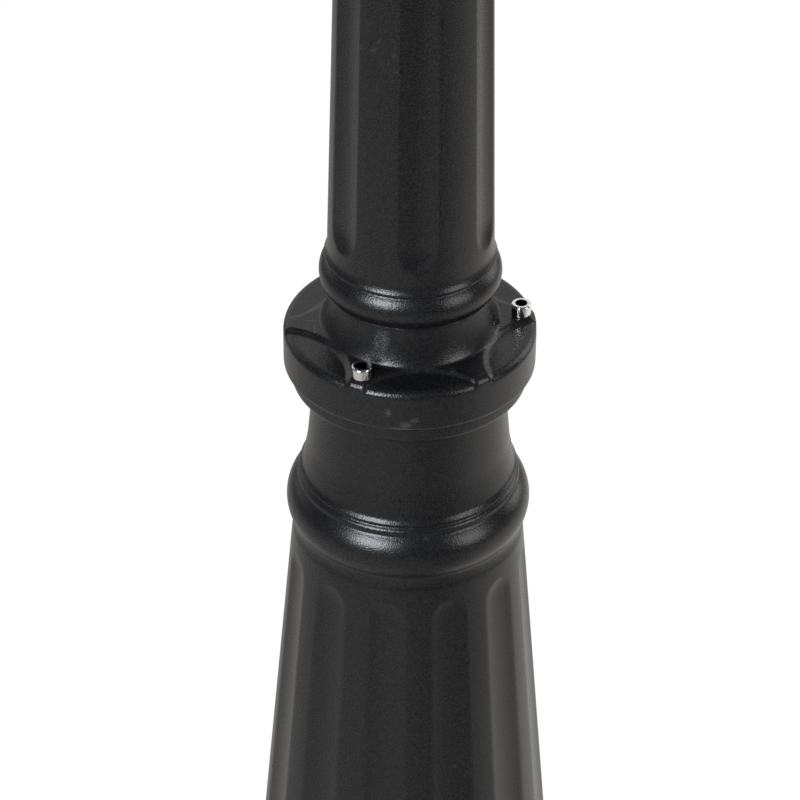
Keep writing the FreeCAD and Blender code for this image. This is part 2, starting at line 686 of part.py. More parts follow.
def hub():
    body = turned(hub_outline())
    socket = radial_rod(SOCKET_RADIUS, HUB_CAVITY_RADIUS + SOCKET_ROOT, SOCKET_REACH, Z_ARM)
    collar_ring = radial_rod(SOCKET_RADIUS + SOCKET_RING_SWELL, SOCKET_REACH - SOCKET_RING,
                             SOCKET_REACH, Z_ARM)
    bore = radial_rod(ARM_TUBE_RADIUS + SLIP, SOCKET_REACH - ARM_INSERT, SOCKET_REACH + PAST, Z_ARM)
    lead_way = radial_rod(ARM_TUBE_RADIUS - ARM_TUBE_WALL, 0, SOCKET_REACH, Z_ARM)
    screw_hole = rod(ARM_SCREW_RADIUS + SLIP, Z_ARM - SOCKET_RADIUS - SOCKET_RING_SWELL - PAST, Z_ARM)
    screw_hole.translate(V(SOCKET_REACH - ARM_SCREW_INSET, 0, 0))
    set_hole = radial_rod(SET_SCREW_RADIUS + SLIP, PIVOT_RADIUS - PAST, HUB_FOOT_RADIUS + PAST,
                          Z_HUB + SET_SCREW_HEIGHT)
    for angle in ARM_ANGLES:
        body = body.fuse([spun(socket, angle), spun(collar_ring, angle)])
    for angle in ARM_ANGLES:
        body = body.cut([spun(bore, angle), spun(lead_way, angle), spun(screw_hole, angle)])
    body = body.cut(ring_of(set_hole, SET_SCREWS, FIRST_ARM_ANGLE + 180.0 / SET_SCREWS))
    return body.removeSplitter()


def set_screws():
    """Grub screws that lock the hub on its pivot once the arms point the right way."""
    tip = PIVOT_RADIUS + PLAY
    screw = rod(SET_SCREW_RADIUS, tip, tip + SET_SCREW_LENGTH)
    end = tip + SET_SCREW_LENGTH
    key = hex_key(SET_KEY_FLATS, end - SET_KEY_DEPTH, end + PAST)
    screw = screw.cut(key)
    screw.rotate(ORIGIN, V(0, 1, 0), 90)
    screw.translate(V(0, 0, Z_HUB + SET_SCREW_HEIGHT))
    return Part.makeCompound(ring_of(screw, SET_SCREWS, FIRST_ARM_ANGLE + 180.0 / SET_SCREWS))


def hub_washer():
    return tube(HUB_FOOT_RADIUS, PIVOT_RADIUS + RUN, Z_PIVOT, Z_HUB)


def centre_finial():
    """Ball and spire on the hub, held by the stud cast into its foot."""
    waist = Z_HUB_TOP + FINIAL_FOOT_HEIGHT
    ball = waist + math.sqrt(FINIAL_BALL_RADIUS ** 2 - FINIAL_WAIST_RADIUS ** 2)
    collar_foot = ball + math.sqrt(FINIAL_BALL_RADIUS ** 2 - FINIAL_COLLAR_RADIUS ** 2)
    collar_top = collar_foot + FINIAL_COLLAR
    tip = collar_top + FINIAL_SPIRE_HEIGHT
    tip_neck = tip - FINIAL_TIP_RADIUS - math.sqrt(FINIAL_TIP_RADIUS ** 2 - FINIAL_TIP_NECK ** 2)
    return turned([
        (0, Z_HUB_TOP - FINIAL_STUD_LENGTH), (FINIAL_STUD_RADIUS, Z_HUB_TOP - FINIAL_STUD_LENGTH),
        (FINIAL_STUD_RADIUS, Z_HUB_TOP), (FINIAL_FOOT_RADIUS, Z_HUB_TOP),
        (FINIAL_WAIST_RADIUS, waist, -FINIAL_FOOT_HOLLOW),
        (FINIAL_COLLAR_RADIUS, collar_foot, None),
        (FINIAL_COLLAR_RADIUS, collar_top),
        (FINIAL_SPIRE_RADIUS, collar_top + FINIAL_COLLAR_CHAMFER),
        (FINIAL_TIP_NECK, tip_neck), (0, tip, None)])


# ---------------------------------------------------------------- arms


def arm_moves(stub):
    return [(stub,), (ARM_DROP_RADIUS, -ARM_DROP_ANGLE), (ARM_SWEEP_RADIUS, 90 + ARM_DROP_ANGLE),
            (ARM_RISE,)]


def arm():
    """Swan-neck tube with a volute of flat bar on its bend, in the plane of +X."""
    start = (SOCKET_REACH - ARM_INSERT, Z_ARM)
    moves = arm_moves(ARM_INSERT + ARM_STUB)
    outside, _ = bent_bar(round_section(ARM_TUBE_RADIUS), start, 0, moves)
    inside, _ = bent_bar(round_section(ARM_TUBE_RADIUS - ARM_TUBE_WALL), start, 0, moves)
    low_x = ARM_REACH - ARM_SWEEP_RADIUS
    low_z = Z_SWEEP_END - ARM_SWEEP_RADIUS + ARM_TUBE_RADIUS + SCROLL_THICKNESS / 2 - SCROLL_SINK
    curls = [(SCROLL_RADIUS * SCROLL_SHRINK ** n, 180) for n in range(SCROLL_TURNS)]
    scroll, tip = bent_bar(flat_section(SCROLL_WIDTH, SCROLL_THICKNESS), (low_x, low_z), 0, curls)
    eye = Part.makeCylinder(SCROLL_EYE_RADIUS, SCROLL_WIDTH, V(tip.x, -SCROLL_WIDTH / 2, tip.z),
                            V(0, 1, 0))
    return outside.fuse([scroll, eye]).cut(inside).removeSplitter()


def arm_screws():
    """Grub screws under the sockets that hold the arms."""
    top = Z_ARM - ARM_TUBE_RADIUS - SLIP
    screw = rod(ARM_SCREW_RADIUS, top - ARM_SCREW_LENGTH, top)
    end = top - ARM_SCREW_LENGTH
    screw = screw.cut(hex_key(ARM_KEY_FLATS, end - PAST, end + ARM_KEY_DEPTH))
    screw.translate(V(SOCKET_REACH - ARM_SCREW_INSET, 0, 0))
    return Part.makeCompound([spun(screw, angle) for angle in ARM_ANGLES])


# ---------------------------------------------------------------- wiring inside


def gear_tray():
    """Ring on the ledge inside the lip, with a plate hanging from it."""
    ledge = Z_FLANGE - LEDGE_DEPTH
    outer = NECK_TOP_RADIUS - NECK_WALL + LEDGE_WIDTH - PLAY
    ring = tube(outer, SPIGOT_RADIUS - SPIGOT_WALL, ledge, ledge + TRAY_THICKNESS)
    plate = block(-TRAY_WIDTH / 2, TRAY_WIDTH / 2, TRAY_OFFSET, TRAY_OFFSET + TRAY_THICKNESS,
                  ledge - TRAY_LENGTH, ledge)
    bridge = block(-TRAY_WIDTH / 2, TRAY_WIDTH / 2, TRAY_OFFSET, SPIGOT_RADIUS, ledge,
                   ledge + TRAY_THICKNESS)
    return ring.fuse([plate, bridge]).removeSplitter()


def terminal_block():
    top = Z_FLANGE - LEDGE_DEPTH - BLOCK_DROP
    half = BLOCK_LENGTH / 2
    body = block(-half, half, -TRAY_OFFSET / 2, TRAY_OFFSET, top - BLOCK_HEIGHT, top)
    pitch = BLOCK_LENGTH / BLOCK_WAYS
    holes = []
    for way in range(BLOCK_WAYS):
        x = -half + pitch * (way + 0.5)
        foot = V(x, -TRAY_OFFSET / 2 - PAST, top - BLOCK_HEIGHT / 2)
        holes.append(Part.makeCylinder(BLOCK_SCREW_RADIUS, BLOCK_SCREW_DEPTH + PAST, foot, V(0, 1, 0)))
    return body.cut(holes)


def cable_clamp():
    """Saddle at the foot of the tray that grips the incoming cable."""
    foot = Z_FLANGE - LEDGE_DEPTH - TRAY_LENGTH + CLAMP_RISE
    body = block(-CLAMP_WIDTH / 2, CLAMP_WIDTH / 2, TRAY_OFFSET - CLAMP_DEPTH, TRAY_OFFSET,
                 foot, foot + CLAMP_HEIGHT)
    way = rod(CLAMP_CABLE_RADIUS, foot - PAST, foot + CLAMP_HEIGHT + PAST)
    way.translate(V(0, TRAY_OFFSET - CLAMP_DEPTH / 2, 0))
    return body.cut(way)


def earth_stud():
    height = Z_FLANGE - LEDGE_DEPTH - BLOCK_DROP - BLOCK_HEIGHT - EARTH_NUT_RADIUS * 2
    stud = rod(EARTH_RADIUS, 0, EARTH_LENGTH)
    nut = Part.Face(polygon_wire(6, EARTH_NUT_RADIUS, 0)).extrude(V(0, 0, EARTH_NUT_HEIGHT))
    stud = stud.fuse(nut)
    stud.rotate(ORIGIN, V(1, 0, 0), 90)
    stud.translate(V(TRAY_WIDTH / 4, TRAY_OFFSET, height))
    return stud


def main_lead():
    block_top = Z_FLANGE - LEDGE_DEPTH - BLOCK_DROP
    return rod(MAIN_LEAD_RADIUS, block_top, Z_PIVOT + PIVOT_HEIGHT)


def splice_box():
    floor = Z_PIVOT + PIVOT_HEIGHT + PLAY
    return rod(SPLICE_RADIUS, floor, floor + SPLICE_HEIGHT)


def arm_leads():
    start = (SPLICE_RADIUS, Z_ARM)
    moves = arm_moves(SOCKET_REACH - SPLICE_RADIUS + ARM_STUB)
    moves[-1] = (ARM_RISE + Z_CAGE,)
    lead, _ = bent_bar(round_section(ARM_LEAD_RADIUS), start, 0, moves)
    return Part.makeCompound([spun(lead, angle) for angle in ARM_ANGLES])


# ---------------------------------------------------------------- lantern, made on its own axis


def gallery():
    """Dished casting that sits over the arm's tube and carries the cage."""
    rim_seat = GALLERY_RADIUS - GALLERY_RIM_SWELL
    return turned([
        (ARM_TUBE_RADIUS + SLIP, -GALLERY_SOCKET), (GALLERY_STEM_RADIUS, -GALLERY_SOCKET),
        (GALLERY_STEM_RADIUS, -GALLERY_SOCKET / 2, GALLERY_BEAD_SWELL),
        (GALLERY_STEM_RADIUS, GALLERY_NECK), (rim_seat, Z_DISH, None),
        (rim_seat, Z_CAGE, GALLERY_RIM_SWELL),
        (ARM_LEAD_RADIUS + PLAY, Z_CAGE), (ARM_LEAD_RADIUS + PLAY, 0), (ARM_TUBE_RADIUS + SLIP, 0)])


def cage_levels(inset, lift=0.0):
    corner = inset / COS30
    return [(CAGE_FOOT_RADIUS - corner, Z_CAGE + lift), (CAGE_TOP_RADIUS - corner, Z_EAVES - lift)]


def side_window(edge, bottom, top):
    """Prism through the side that faces +X, its slanting edges a set way in from the corners."""
    slope = (CAGE_TOP_RADIUS - CAGE_FOOT_RADIUS) / CAGE_HEIGHT / 2
    low = CAGE_FOOT_RADIUS / 2 + slope * (bottom - Z_CAGE) - edge
    high = CAGE_FOOT_RADIUS / 2 + slope * (top - Z_CAGE) - edge
    near = CAGE_FOOT_RADIUS / 3
    corners = [V(near, -low, bottom), V(near, low, bottom), V(near, high, top), V(near, -high, top)]
    return Part.Face(Part.makePolygon(corners + corners[:1])).extrude(V(CAGE_TOP_RADIUS, 0, 0))


def hinge_line():
    """Distance of the hinge axis from the lantern's axis."""
    return ROOF_RADIUS * COS30 + HINGE_SPAN


def hinge_knuckle(start, end, reach, bottom):
    """Barrel along Y at the hinge, with its leaf back to the edge it is cast on."""
    x = -hinge_line()
    barrel = Part.makeCylinder(HINGE_BARREL_RADIUS, end - start, V(x, start, Z_EAVES), V(0, 1, 0))
    leaf = block(x, x + reach, start, end, bottom, bottom + HINGE_BARREL_RADIUS - PLAY)
    return barrel.fuse(leaf)


def hinge_way(radius, length):
    """Bore along the hinge axis, open at both ends."""
    start = V(-hinge_line(), -length / 2 - PAST, Z_EAVES)
    return Part.makeCylinder(radius, length + 2 * PAST, start, V(0, 1, 0))


def cage():
    outside = hex_solid(cage_levels(0))
    inside = hex_solid(cage_levels(CAGE_WALL))
    flange = hex_solid([(CAGE_FLANGE_RADIUS, Z_EAVES - CAGE_FLANGE), (CAGE_FLANGE_RADIUS, Z_EAVES)])
    reach = hinge_line() - CAGE_FLANGE_RADIUS * COS30 + PAST
    knuckle = hinge_knuckle(HINGE_MIDDLE / 2 + PLAY, HINGE_LENGTH / 2, reach,
                            Z_EAVES - HINGE_BARREL_RADIUS)
    other = knuckle.mirror(ORIGIN, V(0, 1, 0))
    body = outside.fuse([flange, knuckle, other]).cut(inside)
    window = side_window(CAGE_RIB, Z_CAGE + CAGE_RAIL, Z_EAVES - CAGE_RAIL)
    body = body.cut(ring_of(window, 6))
    return body.cut(hinge_way(HINGE_PIN_RADIUS, HINGE_LENGTH)).removeSplitter()


def panes():
    glass = hex_solid(cage_levels(CAGE_WALL)).cut(hex_solid(cage_levels(CAGE_WALL + PANE_THICKNESS)))
    edge = CAGE_RIB - PANE_LAP + (CAGE_WALL + PANE_THICKNESS) / COS30 / 2
    window = side_window(edge, Z_CAGE + CAGE_RAIL - PANE_LAP, Z_EAVES - CAGE_RAIL + PANE_LAP)
    return Part.makeCompound(ring_of(glass.common(window), 6))


def lamp_holder():
    top = Z_CAGE + HOLDER_HEIGHT
    return turned([
        (0, Z_CAGE), (HOLDER_FOOT_RADIUS, Z_CAGE), (HOLDER_FOOT_RADIUS, Z_CAGE + HOLDER_FOOT),
        (HOLDER_RADIUS, Z_CAGE + HOLDER_FOOT + HOLDER_EDGE), (HOLDER_RADIUS, top - HOLDER_EDGE),
        (HOLDER_RADIUS - HOLDER_EDGE, top), (LAMP_CAP_RADIUS + SLIP, top),
        (LAMP_CAP_RADIUS + SLIP, top - LAMP_CAP_LENGTH), (0, top - LAMP_CAP_LENGTH)])


def lamp():
    """Opal globe lamp screwed down into its holder; the neck runs tangent into the globe."""
    top = Z_CAGE + HOLDER_HEIGHT
    foot = top - LAMP_CAP_LENGTH
    globe = top + LAMP_GLOBE_RISE
    shoulder = LAMP_GLOBE_RADIUS * math.sqrt(0.5)
    return turned([
        (0, foot), (LAMP_CAP_RADIUS - LAMP_CAP_TAPER, foot), (LAMP_CAP_RADIUS, foot + LAMP_CAP_TAPER),
        (LAMP_CAP_RADIUS, top), (LAMP_NECK_RADIUS, top + LAMP_COLLAR),
        (shoulder, globe - shoulder), (0, globe + LAMP_GLOBE_RADIUS, None)])


# ---------------------------------------------------------------- roof parts, on the same axis


def roof_levels(inset):
    """Heights and corner radii of the ogee roof, drawn in by the wall for its inside."""
    eaves = Z_EAVES + PLAY
    corner = inset / COS30
    return [(ROOF_RADIUS - corner, eaves), (ROOF_RADIUS - corner, eaves + ROOF_RIM - inset / 2),
            (ROOF_SHOULDER_RADIUS - corner, eaves + ROOF_RIM + ROOF_SHOULDER_RISE - inset),
            (ROOF_WAIST_RADIUS - corner, eaves + ROOF_RIM + ROOF_WAIST_RISE - inset),
            (ROOF_TOP_RADIUS - corner, eaves + ROOF_RIM + ROOF_TOP_RISE - inset)]


def roof_top():
    return Z_EAVES + PLAY + ROOF_RIM + ROOF_TOP_RISE


def thumb_height():
    return Z_EAVES - CAGE_FLANGE / 2


def roof():
    body = hex_solid(roof_levels(0))
    hollow = hex_solid([(ROOF_RADIUS - ROOF_WALL / COS30, Z_EAVES - PAST)] + roof_levels(ROOF_WALL)[1:])
    vent = rod(VENT_RADIUS - VENT_WALL, Z_EAVES, roof_top() + PAST)
    rim = ROOF_RADIUS * COS30
    catch = block(rim - PAST, rim + CATCH_THICKNESS, -CATCH_WIDTH / 2, CATCH_WIDTH / 2,
                  Z_EAVES - CATCH_DROP, Z_EAVES + ROOF_RIM)
    step = block(rim - 2 * PAST, rim, -CATCH_WIDTH, CATCH_WIDTH, Z_EAVES - CATCH_DROP - PAST,
                 Z_EAVES + PLAY)
    knuckle = hinge_knuckle(-HINGE_MIDDLE / 2, HINGE_MIDDLE / 2, HINGE_SPAN + PAST, Z_EAVES + PLAY)
    body = body.cut(hollow).cut(vent).fuse([catch.cut(step), knuckle])
    pin_way = hinge_way(HINGE_PIN_RADIUS + RUN, HINGE_MIDDLE)
    screw_way = radial_rod(THUMB_THREAD_RADIUS + RUN, rim - ROOF_WALL, rim + CATCH_THICKNESS + PAST,
                           thumb_height())
    return body.cut([pin_way, screw_way]).removeSplitter()


def vent_cap():
    """Vented chimney with its domed cap, seated on the roof's flat top."""
    foot = roof_top()
    collar_top = foot + VENT_FLANGE
    drum = collar_top + VENT_HEIGHT
    body = turned([
        (VENT_RADIUS - VENT_WALL, foot), (VENT_FLANGE_RADIUS, foot), (VENT_FLANGE_RADIUS, collar_top),
        (VENT_RADIUS, collar_top), (VENT_RADIUS, drum), (VENT_CAP_RADIUS, drum),
        (VENT_CAP_RADIUS, drum + VENT_CAP_EDGE), (VENT_CAP_LAND_RADIUS, drum + VENT_CAP_RISE, None),
        (TOP_STUD_RADIUS + SLIP, drum + VENT_CAP_RISE),
        (TOP_STUD_RADIUS + SLIP, drum + VENT_CAP_PLATE),
        (VENT_RADIUS - VENT_WALL, drum + VENT_CAP_PLATE)])
    slot = block(VENT_RADIUS - VENT_WALL - PAST, VENT_RADIUS + PAST, -VENT_SLOT_WIDTH / 2,
                 VENT_SLOT_WIDTH / 2, collar_top + VENT_SLOT_RISE,
                 collar_top + VENT_SLOT_RISE + VENT_SLOT_HEIGHT)
    return body.cut(ring_of(slot, VENT_SLOTS, 180.0 / VENT_SLOTS))


def top_finial():
    foot = roof_top() + VENT_FLANGE + VENT_HEIGHT + VENT_CAP_RISE
    waist = foot + TOP_FOOT_HEIGHT
    ball = waist + math.sqrt(TOP_BALL_RADIUS ** 2 - TOP_WAIST_RADIUS ** 2)
    spike = ball + math.sqrt(TOP_BALL_RADIUS ** 2 - TOP_SPIKE_RADIUS ** 2)
    tip = foot + TOP_FINIAL_HEIGHT
    return turned([
        (0, foot - TOP_STUD_LENGTH), (TOP_STUD_RADIUS, foot - TOP_STUD_LENGTH),
        (TOP_STUD_RADIUS, foot), (TOP_FOOT_RADIUS, foot), (TOP_WAIST_RADIUS, waist, -TOP_FOOT_HOLLOW),
        (TOP_SPIKE_RADIUS, spike, None), (TOP_TIP_RADIUS, tip - TOP_TIP_RADIUS), (0, tip, None)])


def hinge_pin():
    x = -hinge_line()
    pin = Part.makeCylinder(HINGE_PIN_RADIUS, HINGE_LENGTH + PIN_HEAD,
                            V(x, -HINGE_LENGTH / 2 - PIN_HEAD, Z_EAVES), V(0, 1, 0))
    head = Part.makeCylinder(PIN_HEAD_RADIUS, PIN_HEAD,
                             V(x, -HINGE_LENGTH / 2 - PIN_HEAD, Z_EAVES), V(0, 1, 0))
    return pin.fuse(head)


def thumb_screw():
    """Faceted thumb screw through the roof's catch; its tip bears on the cage's flange."""
    face = CAGE_FLANGE_RADIUS * COS30 + PLAY
    head = ROOF_RADIUS * COS30 + CATCH_THICKNESS + PLAY
    shank = rod(THUMB_THREAD_RADIUS, face, head + PAST)
    neck = rod(THUMB_THREAD_RADIUS * 2, head, head + THUMB_NECK)
    grip = Part.Face(polygon_wire(THUMB_FACETS, THUMB_RADIUS, head + THUMB_NECK))
    grip = grip.extrude(V(0, 0, THUMB_HEAD))
    screw = shank.fuse([neck, grip])
    screw.rotate(ORIGIN, V(0, 1, 0), 90)
    screw.translate(V(0, 0, thumb_height()))
    return screw


# ---------------------------------------------------------------- placing and writing


def on_arm(shape, angle):
    """Carries a lantern piece out to the end of the arm at an angle."""
    placed = shape.copy()
    placed.translate(V(ARM_REACH, 0, Z_LANTERN))
    return spun(placed, angle)


def post_nodes():
    return {
        "base_casting": base_casting(),
        "collar_gasket": collar_gasket(),
        "collar": collar(),
        "collar_cap_screws": cap_screws(),
        "shaft": shaft(),
        "capital": capital(),
        "gear_tray": gear_tray(),
        "terminal_block": terminal_block(),
        "cable_clamp": cable_clamp(),
        "earth_stud": earth_stud(),
        "main_lead": main_lead(),
        "hub_washer": hub_washer(),
        "hub": hub(),
        "hub_set_screws": set_screws(),
        "centre_finial": centre_finial(),
        "arm_grub_screws": arm_screws(),
        "splice_box": splice_box(),
        "arm_leads": arm_leads(),
    }


def lantern_nodes():
    lantern = {
        "gallery": gallery(), "cage": cage(), "panes": panes(), "lamp_holder": lamp_holder(),
        "lamp": lamp(), "roof": roof(), "vent_cap": vent_cap(), "finial": top_finial(),
        "hinge_pin": hinge_pin(), "thumb_screw": thumb_screw(),
    }
    swan_neck = arm()
    nodes = {}
    for number, angle in enumerate(ARM_ANGLES, start=1):
        nodes["arm_%d" % number] = spun(swan_neck, angle)
        for name, shape in lantern.items():
            nodes["lantern_%d_%s" % (number, name)] = on_arm(shape, angle)
    return nodes


def main():
    os.makedirs("parts", exist_ok=True)
    nodes = post_nodes()
    nodes.update(lantern_nodes())
    for name, shape in nodes.items():
        shape.exportStep("parts/%s.step" % name)
        print("%-24s solids %2d  volume %9.0f  valid %s" %
              (name, len(shape.Solids), shape.Volume, shape.isValid()))
    print("nodes", len(nodes), " total height", round(max(s.BoundBox.ZMax for s in nodes.values()), 1))


main()
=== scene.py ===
# %% [markdown]
# A triple head lamp post, looked at where its fluted shaft joins the fluted base.
# The CAD model is loaded first as a fixed frame: it gives every size and place, and each piece
# made below stands where its CAD solid stands. Blender adds the soft edges of a casting, the
# powder coat, the polished screws, the glass and the light. Units are metres, as in the frame.

# %% Load the frame
import bpy
import json
import math
from mathutils import Matrix, Vector

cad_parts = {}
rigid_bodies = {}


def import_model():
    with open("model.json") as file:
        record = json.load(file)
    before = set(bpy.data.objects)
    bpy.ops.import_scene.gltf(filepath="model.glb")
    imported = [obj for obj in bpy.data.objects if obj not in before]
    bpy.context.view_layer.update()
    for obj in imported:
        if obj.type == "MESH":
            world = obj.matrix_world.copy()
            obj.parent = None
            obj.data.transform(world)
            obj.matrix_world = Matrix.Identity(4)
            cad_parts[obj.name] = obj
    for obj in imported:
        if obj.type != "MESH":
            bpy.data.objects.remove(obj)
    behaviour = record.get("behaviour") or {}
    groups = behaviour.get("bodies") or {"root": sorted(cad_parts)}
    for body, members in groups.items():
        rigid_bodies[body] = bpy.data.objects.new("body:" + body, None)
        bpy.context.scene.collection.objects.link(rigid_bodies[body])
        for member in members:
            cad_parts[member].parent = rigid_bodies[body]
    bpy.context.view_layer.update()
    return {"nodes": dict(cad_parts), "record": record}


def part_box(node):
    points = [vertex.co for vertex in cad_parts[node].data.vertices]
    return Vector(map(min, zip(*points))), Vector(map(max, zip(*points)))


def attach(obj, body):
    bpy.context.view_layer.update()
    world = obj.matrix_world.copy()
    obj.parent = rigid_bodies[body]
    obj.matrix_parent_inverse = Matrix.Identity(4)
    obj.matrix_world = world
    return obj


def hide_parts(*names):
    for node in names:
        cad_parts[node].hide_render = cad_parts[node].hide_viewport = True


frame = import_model()
MM = 0.001

# %% [markdown]
# The collar's table, the flat face that the cap screws stand on, is the height that everything in
# the photograph is measured from. The screw heads are 6 mm high, so the table lies 6 mm under
# their tops. Measuring it from the frame keeps the scene right if the post changes.

# %% Heights read from the frame
SCREW_HEAD_HEIGHT = 6.0 * MM
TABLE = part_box("collar_cap_screws")[1].z - SCREW_HEAD_HEIGHT
LIP_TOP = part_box("base_casting")[1].z
SHAFT_BOTTOM, SHAFT_TOP = (corner.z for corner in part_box("shaft"))
print("table", round(TABLE, 4), "lip", round(LIP_TOP, 4))
print("shaft", round(SHAFT_BOTTOM, 4), "to", round(SHAFT_TOP, 4))

# %% [markdown]
# A long lens keeps the post's sides nearly parallel. The lens and distance come from how fast the
# rings of the post open towards the bottom of the photograph. The camera looks down 35.5 degrees
# at a point on the axis 51 mm under the table, from 5 degrees to the left of the front flute.

# %% The photograph's camera
CAMERA_ELEVATION = math.radians(35.54)
CAMERA_AZIMUTH = math.radians(-5.3)
CAMERA_DISTANCE = 1.6705
CAMERA_LENS = 147.97
CAMERA_ROLL = math.radians(0.52)
AIM_BELOW_TABLE = 50.6 * MM
AXIS_RIGHT_OF_CENTRE = 4.6 * MM


def add_camera():
    """Camera on a line to the post's axis, moved a little left so that the axis stands right."""
    side = Vector((math.cos(CAMERA_AZIMUTH), math.sin(CAMERA_AZIMUTH), 0))
    level = Vector((math.sin(CAMERA_AZIMUTH), -math.cos(CAMERA_AZIMUTH), 0))
    back = level * math.cos(CAMERA_ELEVATION) + Vector((0, 0, math.sin(CAMERA_ELEVATION)))
    aim = Vector((0, 0, TABLE - AIM_BELOW_TABLE)) - side * AXIS_RIGHT_OF_CENTRE
    camera = bpy.data.objects.new("camera", bpy.data.cameras.new("camera"))
    camera.data.lens = CAMERA_LENS
    camera.data.clip_start = 0.05
    camera.data.clip_end = 50.0
    camera.location = aim + back * CAMERA_DISTANCE
    turn = (-back).to_track_quat("-Z", "Y").to_matrix().to_4x4()
    roll = Matrix.Rotation(CAMERA_ROLL, 4, "Z")
    camera.matrix_world = Matrix.Translation(camera.location) @ turn @ roll
    bpy.context.scene.collection.objects.link(camera)
    bpy.context.scene.camera = camera
    return camera


camera = add_camera()
print("camera at", [round(v, 3) for v in camera.location])

# %% [markdown]
# Nodes are short to write with a few helpers. `node` adds a node, sets its inputs and hooks up
# whatever is handed in; `maths` does the same for a Math node and hands back its result, so a
# formula reads almost as it would on paper. `smooth` is a soft step from one value to another.
# They work in shader trees and in geometry trees.

# %% Helpers for node trees


def feed(tree, socket, value):
    """Links a socket to an input, or gives the input its own value."""
    if isinstance(value, bpy.types.NodeSocket):
        tree.links.new(value, socket)
    else:
        socket.default_value = value


def node(tree, kind, settings=(), **inputs):
    """Adds a node. settings are its properties; inputs go by name, or by number as i0 or i1."""
    made = tree.nodes.new(kind)
    for name, value in dict(settings).items():
        setattr(made, name, value)
    for name, value in inputs.items():
        numbered = name[0] == "i" and name[1:].isdigit()
        feed(tree, made.inputs[int(name[1:]) if numbered else name.replace("_", " ")], value)
    return made


def maths(tree, operation, *values):
    """A Math node on up to three numbers or sockets, and its result."""
    made = node(tree, "ShaderNodeMath", {"operation": operation})
    for socket, value in zip(made.inputs, values):
        feed(tree, socket, value)
    return made.outputs[0]


def smooth(tree, value, begins, full, low=0.0, high=1.0):
    """Soft step: low where value is at begins, high where it is at full."""
    return node(tree, "ShaderNodeMapRange", {"interpolation_type": "SMOOTHSTEP"}, Value=value,
                From_Min=begins, From_Max=full, To_Min=low, To_Max=high).outputs[0]


def vector_length(tree, vector):
    return node(tree, "ShaderNodeVectorMath", {"operation": "LENGTH"}, i0=vector).outputs["Value"]


def new_group(name, kind, inputs, outputs):
    """A node group with inputs (name, kind of socket, default if any) and outputs (name, kind)."""
    tree = bpy.data.node_groups.new(name, kind)
    for label, socket_kind, *default in inputs:
        socket = tree.interface.new_socket(label, in_out="INPUT", socket_type="NodeSocket" + socket_kind)
        if default:
            socket.default_value = default[0]
    for label, socket_kind in outputs:
        tree.interface.new_socket(label, in_out="OUTPUT", socket_type="NodeSocket" + socket_kind)
    return tree, tree.nodes.new("NodeGroupInput"), tree.nodes.new("NodeGroupOutput")


print("node helpers ready")

# %% [markdown]
# Black paint shows the room more than itself, so the room is what gives the photograph its look.
# Low down it is white paper: dim in front, a little brighter on the left and bright on the right
# and behind, which draws the bright right flank. Overhead it is dark, and between the two the
# backdrop behind the post lights the collar's flat top beside the shaft. The paper is brightest
# within 1.3 m of the post and dims further out. `studio glow` gives the brightness low down for a
# direction: a base and a lobe towards each side. Floor and world show all this in reflections
# only; the camera sees both clean white.

# %% Room
GLOW_BASE = 0.28
GLOW_LOBES = ((math.radians(-95.0), -0.35, 0.35, 0.20), (math.radians(112.0), 0.15, 0.97, 0.52))
PAPER_TINT = (1.0, 0.965, 0.93, 1)
SKY_GLOSS = 0.10
BACKDROP_GLOSS = 0.62
BACKDROP_TOP, BACKDROP_FADE = math.sin(math.radians(42.0)), math.sin(math.radians(62.0))
BACKDROP_SIDES = (0.25, 0.75)
SKY_FILL = 0.30
PAPER_NEAR, PAPER_FAR, PAPER_FAR_SHARE = 1.3, 2.8, 0.35


def glow_group():
    """Brightness over a direction; a lobe is (azimuth, cosine where it starts, where full, gain)."""
    tree, start, end = new_group("studio glow", "ShaderNodeTree", [("Vector", "Vector")], [("Glow", "Float")])
    flat = node(tree, "ShaderNodeVectorMath", {"operation": "MULTIPLY"}, i0=start.outputs[0], i1=(1, 1, 0))
    level = node(tree, "ShaderNodeVectorMath", {"operation": "NORMALIZE"}, i0=flat.outputs[0])
    glow = GLOW_BASE
    for towards, begins, full, gain in GLOW_LOBES:
        facing = node(tree, "ShaderNodeVectorMath", {"operation": "DOT_PRODUCT"}, i0=level.outputs[0],
                      i1=(math.sin(towards), -math.cos(towards), 0))
        lobe = smooth(tree, facing.outputs["Value"], begins, full)
        glow = maths(tree, "MULTIPLY_ADD", lobe, gain, glow)
    tree.links.new(glow, end.inputs["Glow"])
    return tree


GLOW = glow_group()
print("room glow", GLOW_BASE, "to", GLOW_BASE + GLOW_LOBES[1][3])

# %% [markdown]
# The floor is one large fan of faces that runs on as far as the camera sees. A share of its own shading shows
# through the clean white, so that the post keeps its shadow. It isn't part of the post.

# %% Floor
FLOOR_RADIUS = 30.0
FLOOR_SHADOW_SHARE = 0.12
PAPER_GREY, PAPER_WHITE = 0.88, 1.08
FLOOR_STEPS = 64


def ring_points(radius, height, around):
    return [(radius * math.cos(math.tau * n / around), radius * math.sin(math.tau * n / around), height)
            for n in range(around)]


def clean_rays(tree, path):
    """1 where the camera looks at the room itself, straight or through glass."""
    return maths(tree, "MAXIMUM", path["Is Camera Ray"], path["Is Transmission Ray"])


